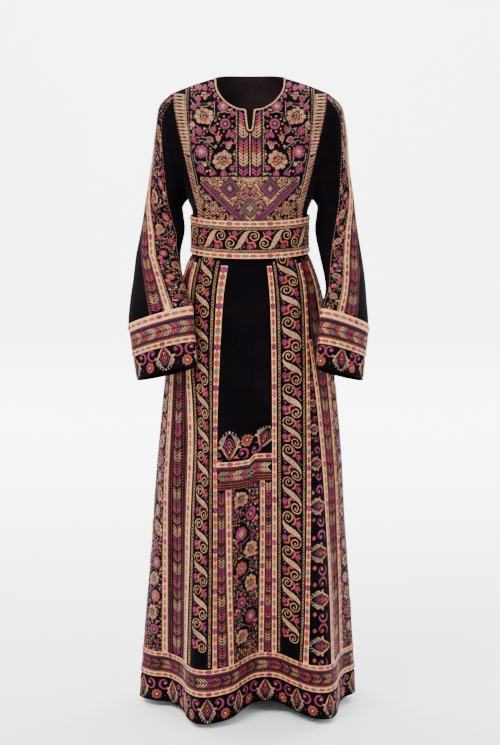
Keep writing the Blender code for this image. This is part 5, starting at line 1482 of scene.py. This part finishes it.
# ================================================================ fillings
def vine(n, left, right, low, high, seed, repeat=80.0, most=21.0):
    """Climbing stem with large flowers in its bays; returns the room that they take."""
    middle, half = (left + right) / 2, (right - left) / 2
    ys = np.linspace(high, low, max(8, int((high - low) / 5)))
    stem = pairs(middle + half * 0.62 * np.sin(2 * math.pi * (high - ys) / repeat), ys)
    n.cord(stem, 1.1, "grey", blunt=0)
    n.dots(stem[::2] + (1.4, 0), 0.8, "tan", 1)
    busy = [(x, y, 1.2) for x, y in stem]
    reach = min(half * 0.8, most)
    for k, y in enumerate(np.arange(high - repeat * 0.28, low + reach, -repeat / 2)):
        side = 1 if k % 2 else -1
        x = middle + side * (half - reach) * 0.85
        kind = (k + seed) % 5
        if kind in (0, 3):
            great_rose(n.at(x, y, 23 * k, reach / 22.5))
        elif kind == 1:
            daisy(n.at(x, y, 9 * k, reach / 10.5))
        else:
            rosette(n.at(x, y, 9 * k, reach / 9.5),
                    *(("magenta", "gold") if kind == 2 else ("coral", "grey")))
        busy.append((x, y, reach + (0.5 if kind in (0, 3) else -1.5)))
        for far, rise, tone in ((0.66, 0.17, "magenta"), (0.78, 0.30, "coral")):
            bx, by = middle - side * half * far, y + repeat * rise
            (blossom if k % 2 else tulip)(n.at(bx, by, side * 25, 0.8), tone)
            busy.append((bx, by, 4.0))
        lx, ly = middle + side * half * 0.55, y - repeat * 0.21
        leaf(n.at(lx, ly, -side * 60, 0.85), ("gold", "coral", "magenta")[k % 3])
        busy.append((lx + side * 3, ly + 2, 4.5))
    return busy


def fill(n, left, right, low, high, busy, seed, cell=6.4, inside=None):
    """Small leaves, knots and blossoms in what room is left between the flowers."""
    pick = random.Random(seed)
    taken = np.array(busy)
    for y in np.arange(high - cell / 2, low, -cell):
        for x in np.arange(left + cell / 2, right, cell):
            px, py = x + pick.uniform(-1.4, 1.4), y + pick.uniform(-1.4, 1.4)
            choice, turn = pick.random(), pick.uniform(0, 360)
            tone = pick.choice(FILL_TONES)
            if inside and not inside(px, py):
                continue
            if (np.hypot(taken[:, 0] - px, taken[:, 1] - py) - taken[:, 2]).min() < 2.2:
                continue
            m = n.at(px, py, turn)
            if choice < 0.38:
                petals(m, 4, 0.4, 3.0, 2.1, tone)
                m.dots((0, 0), 0.8, "gold", 1)
            elif choice < 0.66:
                m.stitches([(-0.5, -2.8), (0.5, -2.4)], [(-2.6, 2.2), (2.7, 1.9)], 2.0, tone)
            elif choice < 0.84:
                m.dots([(-1.7, -0.8), (1.6, -0.9), (0, 1.8)], 1.1, tone)
            else:
                m.cord(arc(2.2, 0, 250, 6, grow=-0.8), 1.0, "grey")


def chevron_lane(n, width, low, high, tones):
    """Strip of chevrons between rows of knots and thin lines."""
    edge = (width - min(CHEVRON_WIDEST, width * CHEVRON_SHARE)) / 2
    for x, side in ((0, edge), (width, -edge)):
        bead_row(n, x + side * 0.26, low, high, ("magenta", "coral"), 3.6,
                 min(1.5, edge * 0.2))
        edge_line(n, x + side * 0.52, low, high, "plum", 1.0)
        bead_row(n, x + side * 0.76, low, high, ("plum", "coral"), 3.4, min(1.3, edge * 0.17))
    chevrons(n, edge, width - edge, low, high - 3, tones, 12.4)


def floral_lane(n, width, low, high, seed, columns=1, most=21.0):
    """Floral strip, in one or more columns with a row of knots between them."""
    each = width / columns
    for k in range(columns):
        ends = (k * each + 4.6, (k + 1) * each - 2.6, low, high)
        busy = vine(n, *ends, seed + 2 * k, 80.0 if most > 12 else 58.0, most)
        fill(n, *ends, busy, seed + k)
        bead_row(n, k * each + 2.0, low, high, ("tan", "tan", "grey"), 3.2, 1.3)
    bead_row(n, width - 1.6, low, high, ("grey", "tan"), 3.6, 1.1)


def scroll_lane(n, width, low, high):
    """Running scroll between two lattice columns."""
    for x in (LATTICE_IN, width - LATTICE_IN):
        lattice(n, x, low, high)
    share = (width - LATTICE_ROOM) / SCROLL_WIDTH
    for y in np.arange(high - 24, low + 10, -SCROLL_REPEAT):
        scroll(n.at(width / 2, y, 0, SCROLL_SIZE, flip=share / SCROLL_SIZE))


# ================================================================ charts
def measured(surface, angles, height):
    """Length from the first of some angles to each, along a surface at one height."""
    return lengths_along(surface(angles, height)[0])


class Lane:
    """Chart of a surface between two of its lines: across in metres, and the height.

    True to length halfway up. With centred, it is true everywhere, and it starts in the
    middle of the lane.
    """

    def __init__(self, surface, line, first, last, low, high, centred=False):
        self.surface, self.line, self.ends = surface, line, (first, last)
        self.low, self.high, self.centred = low, high, centred
        self.levels = np.linspace(low, high, LANE_LEVELS)
        self.widths = [self.width_at(level) for level in self.levels]
        self.width = self.widths[LANE_LEVELS // 2]

    def width_at(self, level):
        start, end = (float(self.line(name, np.array(level))) for name in self.ends)
        return measured(self.surface, np.linspace(start, end, LANE_SAMPLES), level)[-1]

    def place(self, x, height):
        start, end = (self.line(name, height) for name in self.ends)
        if self.centred:
            share = 0.5 + x / np.interp(height, self.levels, self.widths)
        else:
            share = np.clip(x / self.width, 0.0, 1.0)
        return self.surface(start + (end - start) * share, height)

    def mark_tape(self):
        """Work a tape's marks along the middle of the lane."""
        n = Needle()
        tape_marks(n.at(self.width * 500, 0), self.low * 1000, self.high * 1000)
        sew_on_tape(n, self.place)


class Round:
    """Chart of a band that runs round: lengths round it from its front, and a height."""

    def __init__(self, surface, height, start, end, front=0.0):
        self.surface = surface
        self.angles = np.linspace(start - ROUND_MARGIN, end + ROUND_MARGIN, ROUND_SAMPLES)
        self.lengths = measured(surface, self.angles, height)
        self.lengths -= np.interp(front, self.angles, self.lengths)
        self.start, self.end = np.interp((start, end), self.angles, self.lengths) * 1000

    def place(self, x, height):
        return self.surface(np.interp(x, self.lengths, self.angles), height)

    def mark_tapes(self, middles, inset=0.0):
        """Work the marks of the tapes that run round at some heights."""
        n = Needle()
        for y in middles:
            tape_marks(leftward(n, y), self.start + inset, self.end - inset)
        sew_on_tape(n, self.place)


class Front:
    """Chart of the bodice's front as it is seen from ahead: X and the height."""

    NUDGES = (1.0, 0.994, 0.986, 0.975)     # a ray that slips through a seam is moved in

    def __init__(self, grids):
        points, faces, count = [], [], 0
        for grid, split in grids:
            faces += (count + grid_cells(*grid.shape[:2], split=split)).tolist()
            points.append(grid.reshape(-1, 3))
            count += len(points[-1])
        self.tree = BVHTree.FromPolygons(np.concatenate(points).tolist(), faces)

    def cast(self, x, height):
        return self.tree.ray_cast((x, -1.0, height), (0.0, 1.0, 0.0))[:2]

    def place(self, x, height):
        points, normals = [], []
        for across, level in zip(x, height):
            for nudge in self.NUDGES:
                hit, normal = self.cast(across * nudge, level)
                if hit is not None:
                    break
            if hit is None:
                hit, normal = self.tree.find_nearest((across, -0.05, level))[:2]
            points.append(hit)
            normals.append(normal if normal.y < 0 else -normal)
        return np.array(points), np.array(normals)

    def holds(self, x, y):
        """Whether the cloth is there, for a place in millimetres."""
        return self.cast(x / 1000, y / 1000)[0] is not None


# ================================================================ bodice
def field_edge(height):
    """Outer edge of the embroidered front, in millimetres from its centre."""
    return float(np.interp(height, *zip(*FIELD_EDGE)))


def slit_reach(height):
    """Least distance from the centre at which the slit's edge lets a stitch lie, in mm."""
    return float(np.interp(height, (1306, 1316, 1330), (3.4, 9.6, 12.4)))


def comb(n, front):
    """Pointed satin bars along the outer edge, shorter and then slanting towards the waist."""
    for k, height in enumerate(np.arange(1388, 1256, -7.4)):
        outer = field_edge(height) - 1.5
        inner = outer - float(np.interp(height, (1256, 1300, 1390), (15, 25, 31)))
        if not front.holds(outer - 1, height):
            continue
        n.stitches((outer, height), (inner, height - 1.6), 4.0, "tan" if k % 3 else "gold")
        n.stitches((outer - 1, height - 3.6), (outer - 11, height - 4.4), 2.1,
                   ("coral", "magenta", "coral", "grey")[k % 4])
        n.stitches((inner + 10, height - 4.6), (inner + 1, height - 5.0), 2.1,
                   ("tan", "coral", "grey")[k % 3])
    for k, height in enumerate(np.arange(1256, 1116, -4.4)):
        outer = field_edge(height) - 1.5
        while not (front.holds(outer + 1.5, height) and front.holds(outer, height - 8)):
            outer -= 1.0
        n.stitches((outer, height), (outer - 15, height - 9.5), 2.5,
                   ("tan", "grey", "tan", "coral", "tan", "magenta")[k % 6])


def chest_half(n, front):
    """Right half of the chest: comb border, flower field, and chevrons by the slit."""
    comb(n, front)
    n.cord(smooth(COMB_LINE, 44), 1.3, "gold", blunt=0)
    beads = smooth(COMB_LINE, 76) - (4.6, 0)
    n.dots(beads, 1.25, "grey")
    busy = [(x, y, 1.8) for x, y in beads[::2]]
    for points in CHEST_STEMS:
        path = smooth(points, 7 * len(points))
        n.cord(path, 1.7, "grey")
        n.dots(path[3::4] + (0.4, 0.4), 0.95, "tan", 1)
        busy += [(x, y, 1.4) for x, y in path[::2]]
    draw = {"rose": lambda m, _: great_rose(m), "daisy": lambda m, _: daisy(m),
            "leaf": lambda m, tone: leaf(m, tone, 5, 15.0, 8.0), "drop": drop,
            "rosette": rosette, "tulip": tulip, "blossom": blossom}
    for kind, x, y, turn, size, room, tone in CHEST_FLOWERS:
        draw[kind](n.at(x, y, turn, size), tone)
        busy.append((x, y, room))

    def inside(x, y):
        limit = float(np.interp(y, *zip(*sorted((h, w) for w, h in COMB_LINE))))
        return 32 < x < limit - 7 and front.holds(x, y) and front.holds(x - 4, y + 4)

    fill(n, 30, 140, 1216, 1424, busy, 11, 6.0, inside)
    bead_row(n, 29.3, 1213, 1362, ("grey", "grey", "tan"), 3.3, 1.4)
    edge_line(n, 26.4, 1213, 1362, "black", 1.3)
    chevrons(n, 3.4, 24.8, 1211, 1352, SLIT_TONES, 13.6, 0.80, slit_reach, 1.5)


def waist_ground(n, pick):
    """Flecks that cover the ground of the waist above its bands."""
    for y in np.arange(1208, 1104, -2.9):
        for x in np.arange(1.2, 108, 3.1):
            if x > min(104 - (1193 - y) * WAIST_FALL, field_edge(y) - 18):
                continue
            tone, lean = pick.choice(WAIST_TONES), pick.uniform(-1.5, 1.5)
            n.stitches((x - 1.6, y - lean), (x + 1.6, y + lean), 1.9, tone)


def waist_bands(n):
    """Bands that fall towards the centre, with two rows of knots along them."""
    for off, width, tone in ((-7.4, 2.0, "black"), (-0.8, 12.0, "plum"), (-5.2, 1.3, "magenta"),
                             (-2.9, 1.3, "magenta"), (-0.6, 1.3, "magenta"),
                             (1.7, 1.5, "magenta"), (4.2, 1.9, "magenta"), (6.4, 1.8, "black")):
        ends = np.array([(102, 1197), (66, 1160), (28, 1124), (16, 1112)])
        n.cord(smooth(ends + off * 0.71 * np.array((1, -1)), 18), width, tone,
               3 if tone == "magenta" else 2, 0)
    for k in range(21):
        n.dots([(100 - 4.0 * k, 1193 - 3.95 * k), (102 - 4.0 * k, 1197 - 3.95 * k)], 0.8,
               "plum" if k % 3 else "coral", 4)


def waist_curls(n, pick):
    """Small curls on the velvet below the bands."""
    for k, y in enumerate(np.arange(1186, 1104, -8.4)):
        for x in np.arange(118 - (1193 - y) * WAIST_FALL + (k % 2) * 4, field_edge(y) - 15, 9.4):
            m = n.at(x, y, pick.uniform(0, 360))
            m.cord(arc(4.2, -60, 250, 11, grow=-2.2), 1.7, "tan" if k % 2 else "gold")
            m.dots([(0.4, 0.4), (5.6, -3.0)], 1.2, pick.choice(("magenta", "coral", "tan")), 1)
            m.stitches((4.0, 3.0), (7.2, 6.0), 2.0, pick.choice(("gold", "magenta", "tan")))


def waist_half(n):
    """Right half of the waist: ground, bands, curls, a diamond, and a peak at the centre."""
    pick = random.Random(5)
    waist_ground(n, pick)
    waist_bands(n)
    waist_curls(n, pick)
    diamond(n.at(43.5, 1185), 22.5, ("black", "magenta", "plum", "plum"))
    for width, tone, shift in ((1.8, "black", 0), (3.0, "magenta", 5.0), (1.4, "black", 9.0)):
        ends = [(x, y - shift * 1.4) for x, y in ((0, 1189), (18, 1168), (36, 1147))]
        n.cord(smooth(ends, 10), width, tone, 2, 0)


def make_bodice_embroidery(grids):
    front, n = Front(grids), Needle()
    for side in (-1, 1):
        half = n.at(0, 0, flip=side)
        waist_half(half)
        chest_half(half, front)
    m = n.at(0, 1142)
    diamond(m, 20.5, ("black", "grey", "black", "plum"))
    for turn in (45, 135):
        m.at(0, 0, turn).stitches([(-8, -5), (-9, 0), (-8, 5)], [(8, -5), (9, 0), (8, 5)], 1.2,
                                  "tan", 3)
    for side in (-1, 1):
        n.cord(straights([(side * 1.5, 1189), (side * 14, 1207)]), 1.5, "black", 2)
    for k, x in enumerate(np.arange(-15, 16, 3.0)):
        n.stitches((x, 1209), (x * 0.8, 1199), 1.8, "tan" if k % 2 else "gold", 2)
    yoke = np.linspace(-100, 100, 44)
    n.cord(pairs(yoke, 1211.5 - (yoke / 100) ** 2 * 3), 2.4, "black", 3)
    edge_line(n, 0, 1196, 1304, "tan", 1.8)
    n.cord(arc(4.0, 70, 430, 16, y=1192), 1.5, "tan", 4)
    sew("bodice", "embroidered_velvet", n, front.place)


# ================================================================ skirt, hem, belt, sleeves
def skirt_lane(first, last, low, high, centred=False):
    return Lane(skirt_surface, strip_angle, first, last, low, high, centred)


def make_skirt_embroidery():
    """Each strip of the skirt in turn, then the marks on its tapes."""
    later = STRIP_TONES[4:] + STRIP_TONES[:4]
    lanes = (
        ("left", "floral_left", "tape_side_left", LANE_TOP, floral_lane, (3, 2)),
        ("left", "chevron_left", "tape_outer_left", LANE_TOP, chevron_lane, (STRIP_TONES,)),
        ("left", "scroll_left", "tape_inner_left", LANE_TOP, scroll_lane, ()),
        ("front", "chevron_mid_left", "tape_mid_left", BAND_BOTTOM, chevron_lane, (later,)),
        ("front", "floral_mid", "tape_mid_right", BAND_BOTTOM, floral_lane, (5,)),
        ("front", "chevron_mid_right", "tape_inner_right", BAND_BOTTOM, chevron_lane,
         (STRIP_TONES,)),
        ("right", "scroll_right", "tape_outer_right", LANE_TOP, scroll_lane, ()),
        ("right", "chevron_right", "tape_side_right", LANE_TOP, chevron_lane, (later,)),
        ("right", "floral_right", "back_right", LANE_TOP, floral_lane, (6, 2)))
    for group, first, last, high, draw, options in lanes:
        lane, n = skirt_lane(first, last, BORDER_TOP, high), Needle()
        draw(n, lane.width * 1000, BORDER_TOP * 1000 + LANE_END, high * 1000 - LANE_END,
             *options)
        sew("skirt_" + group, "embroidered_velvet", n, lane.place)
    for name, top in SKIRT_TAPES.items():
        skirt_lane(name, strip_after(name), BORDER_TOP, top).mark_tape()


def make_wedge():
    """Palmettes that point outwards down the black wedge, with curls between them."""
    lane = skirt_lane("wedge", "tape_wedge_right", BORDER_TOP, WEDGE_SEWN_TIP, centred=True)
    n, y = Needle(), 166.0
    while y < 800:
        width = float(np.interp(y / 1000, lane.levels, lane.widths)) * 1000
        size = min(1.08, width / 47.0)
        if size < 0.2:
            break
        crown(n.at(-1.5 * size, y, -90, size))
        for up in (-1, 1):
            hook(n.at(4.0 * size, y + up * 35 * size, 90 - up * 62, size * 0.92, flip=up))
            blossom(n.at(-16 * size, y + up * 31 * size, 0, size * 0.7), "coral")
        y += 97.0 * size
    sew("skirt_right", "embroidered_velvet", n, lane.place)


def make_band():
    """Cross band of sideways chevrons between two tapes, with its tapes' marks."""
    lane = skirt_lane("chevron_mid_left", "tape_inner_right", BAND_BOTTOM, BAND_TOP)
    width, n = lane.width * 1000, Needle()
    running_border(n, BAND_LOWER_TAPE * 1000, BAND_TAPE * 1000, 2.0, width - 2.0, BAND_TONES,
                   leftward, 1.35)
    sew("skirt_front", "embroidered_velvet", n, lane.place)
    n = Needle()
    tape_marks(leftward(n, (BAND_TAPE + BAND_TOP) * 500), 0, width)
    for y, tone in ((BAND_LOWER_TAPE * 1000 - 2.4, "coral"),
                    ((BAND_BOTTOM + BAND_LOWER_TAPE) * 500, "plum"),
                    (BAND_BOTTOM * 1000 + 2.4, "coral")):
        n.dots(pairs(np.arange(2.0, width - 1, 3.8), y), 1.4, tone)
    sew_on_tape(n, lane.place)


def make_front_motifs():
    """What stands on the cross band, on the plain front velvet."""
    lane = skirt_lane("chevron_mid_left", "tape_inner_right", BAND_TOP, BAND_TOP + 0.090)
    w, base, n = lane.width * 1000, BAND_TOP * 1000 + 3, Needle()
    crown(n.at(w * 0.235, base + 33, 180, 1.18, flip=1.08))
    wheel(n.at(w * 0.555, base + 43, 0, 1.05))
    n.dots(arc(13.2, 190, 350, 9, x=w * 0.555, y=base + 43), 1.3, "cream", 1)
    crown(n.at(w * 0.88, base + 38, 160, 1.10))
    hook(n.at(w * 0.49, base + 13, -14, 0.95))
    hook(n.at(w * 0.04, base + 9, 70, 0.80, flip=-1))
    hook(n.at(w * 0.71, base + 12, 200, 0.95, flip=-1))
    antler(n, [(w * 0.30, base + 4), (w * 0.36, base + 7), (w * 0.42, base + 2)],
           (1, w * 0.38, base + 13))
    n.dots([(w * 0.475, base + 50), (w * 0.45, base + 33)], 1.8, "magenta")
    sew("skirt_front", "embroidered_velvet", n, lane.place)


def make_hem_embroidery():
    chart, n = Round(skirt_surface, HEM_MIDDLE, -180.0, 180.0), Needle()
    (_, top_high, top_low), (_, low_high, low_low) = HEM_TAPES
    running_border(n, low_high * 1000, top_low * 1000, chart.start, chart.end, STRIP_TONES,
                   rightward)
    for x in repeats(chart)[0]:
        border_unit(n.at(x, low_low * 500 - 1.0))
    sew("hem", "embroidered_border", n, chart.place)
    chart.mark_tapes(((top_high + top_low) * 500, (low_high + low_low) * 500))


def make_belt_embroidery():
    chart, n = Round(belt_surface, BELT_HEIGHT / 2, BELT_START, BELT_END), Needle()
    start, end = chart.start + 3, chart.end - 3
    height, tape = BELT_HEIGHT * 1000, BELT_TAPE * 1000
    for y in (tape + 4.6, height - tape - 4.6):
        lattice(leftward(n), y, start, end, 6.6, 6.4, 1.3)
    share = (height - 2 * tape - BELT_LATTICE_ROOM) / SCROLL_WIDTH
    for x in np.arange(start + 34, end - 30, BELT_REPEAT):
        scroll(n.at(x, height / 2, 90, SCROLL_SIZE, flip=share / SCROLL_SIZE))
    sew("belt", "belt_cloth", n, chart.place)
    chart.mark_tapes((tape / 2, height - tape / 2), 3)


def make_sleeve_embroidery(sleeve):
    """Chevron and floral strips down a sleeve, its tape, and its cuff."""
    def surface(angle, height):
        return sleeve.surface(angle, -np.asarray(height))

    def line(name, height):
        return sleeve.line(name, -height)

    group = "sleeve_" + sleeve.side
    low, high = -sleeve.cuff, -sleeve.keys[SLEEVE_TAPE_RING]
    seed = 4 if sleeve.side == "left" else 8
    for first, last, draw, options in (("back", "tape_back", chevron_lane, (STRIP_TONES,)),
                                       ("tape_front", "front", floral_lane, (seed, 1, 11.5))):
        lane, n = Lane(surface, line, first, last, low, high), Needle()
        draw(n, lane.width * 1000, low * 1000 + LANE_END, high * 1000 + 20, *options)
        sew(group, "embroidered_velvet", n, lane.place)
    Lane(surface, line, "tape_back", "tape_front", low, high).mark_tape()
    chart = Round(surface, -(sleeve.cuff + sleeve.length) / 2, -90.0, 270.0, front=90.0)
    top, lower = ([-sleeve.keys[ring] * 1000 for ring in rings] for rings in CUFF_TAPE_RINGS)
    n = Needle()
    running_border(n, lower[0], top[1], chart.start, chart.end, CUFF_TONES, rightward, 1.35)
    middles, step = repeats(chart)
    room = lower[1] + sleeve.length * 1000
    for x in middles + (0 if len(middles) % 2 else step / 2):
        border_unit(n.at(x, lower[1] - room / 2), min(step / BORDER_REPEAT, room / CUFF_HIGH),
                    CUFF_WIDE)
    sew(group, "embroidered_border", n, chart.place)
    chart.mark_tapes((sum(top) / 2, sum(lower) / 2))


# ================================================================ stage, light and camera
def make_stage():
    """Pale studio floor that curves up into its back wall."""
    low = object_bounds()[0].z - FLOOR_GAP
    finish = Finish("studio_paper", Roughness=0.9)
    finish.feed(finish.shader, {"Base Color": finish.ramp(
        finish.noise(1.4), (0.3, (0.93, 0.93, 0.95, 1.0)), (0.7, (0.95, 0.95, 0.97, 1.0)))})
    turns = np.linspace(0, math.pi / 2, 24)[1:]
    profile = [(-STAGE_HALF, 0.0), (STAGE_DEPTH, 0.0)]
    profile += [(STAGE_DEPTH + STAGE_RADIUS * math.sin(t), STAGE_RADIUS * (1 - math.cos(t)))
                for t in turns] + [(STAGE_DEPTH + STAGE_RADIUS, STAGE_TOP)]
    points = [(x, y, low + z) for y, z in profile for x in (-STAGE_HALF, STAGE_HALF)]
    mesh = bpy.data.meshes.new("studio_floor")
    mesh.from_pydata(points, [], [(2 * k, 2 * k + 1, 2 * k + 3, 2 * k + 2)
                                  for k in range(len(profile) - 1)])
    mesh.shade_smooth()
    mesh.materials.append(finish.material)
    floor = add_object("studio_floor", mesh)


def make_light():
    world = bpy.data.worlds.new("studio_air")
    bpy.context.scene.world = world
    world.use_nodes = True
    air = world.node_tree.nodes["Background"]
    air.inputs["Color"].default_value = AIR_TONE
    air.inputs["Strength"].default_value = AIR_STRENGTH
    for name, place, aim, size, power, tone in LIGHTS:
        lamp = bpy.data.lights.new(name, "AREA")
        lamp.shape = "RECTANGLE"
        lamp.size, lamp.size_y = size
        lamp.energy, lamp.color = power, tone
        thing = add_object(name, lamp)
        thing.location = place
        thing.rotation_euler = (Vector(aim) - Vector(place)).to_track_quat("-Z", "Y").to_euler()


def make_camera():
    lens = bpy.data.cameras.new("camera")
    lens.sensor_width, lens.lens, lens.clip_end = SENSOR, LENS, CLIP_END
    camera = add_object("camera", lens)
    camera.location = CAMERA_PLACE
    camera.rotation_euler = (math.radians(90.0 - CAMERA_TILT), 0.0, 0.0)
    bpy.context.scene.camera = camera


# ================================================================ the dress
def make_dress():
    velvet("velvet_wrong_side", WRONG_SIDE, 0.05)
    plain = velvet("black_velvet", VELVET, 0.030)
    worked = velvet("velvet_under_stitching", VELVET, 0.020, GROUND_SPECKS)
    border = velvet("border_velvet", BORDER_VELVET, 0.020, GROUND_SPECKS)
    tape = woven("woven_tape", CREAM, TAPE_SHADOW)
    threads = {tone: thread("thread_" + tone, colour) for tone, colour in THREADS.items()}
    make_skirt(plain, worked)
    make_skirt_tapes(border, tape)
    make_hem(border, tape)
    grids, back_neck = make_bodice(plain, worked)
    make_piping(grids, back_neck, thread("piping_cord", PIPING), plain)
    for sleeve in (Sleeve("left", LEFT_SLEEVE, LEFT_SLEEVE_LINES, LEFT_SLEEVE_CREASES),
                   Sleeve("right", RIGHT_SLEEVE, RIGHT_SLEEVE_LINES, RIGHT_SLEEVE_CREASES)):
        make_sleeve(sleeve, plain, worked, border, tape)
        make_sleeve_embroidery(sleeve)
    make_belt(worked, tape)
    make_skirt_embroidery()
    make_wedge()
    make_band()
    make_front_motifs()
    make_hem_embroidery()
    make_belt_embroidery()
    make_bodice_embroidery(grids)
    finish_work(threads)


make_camera()
make_dress()
make_stage()
make_light()
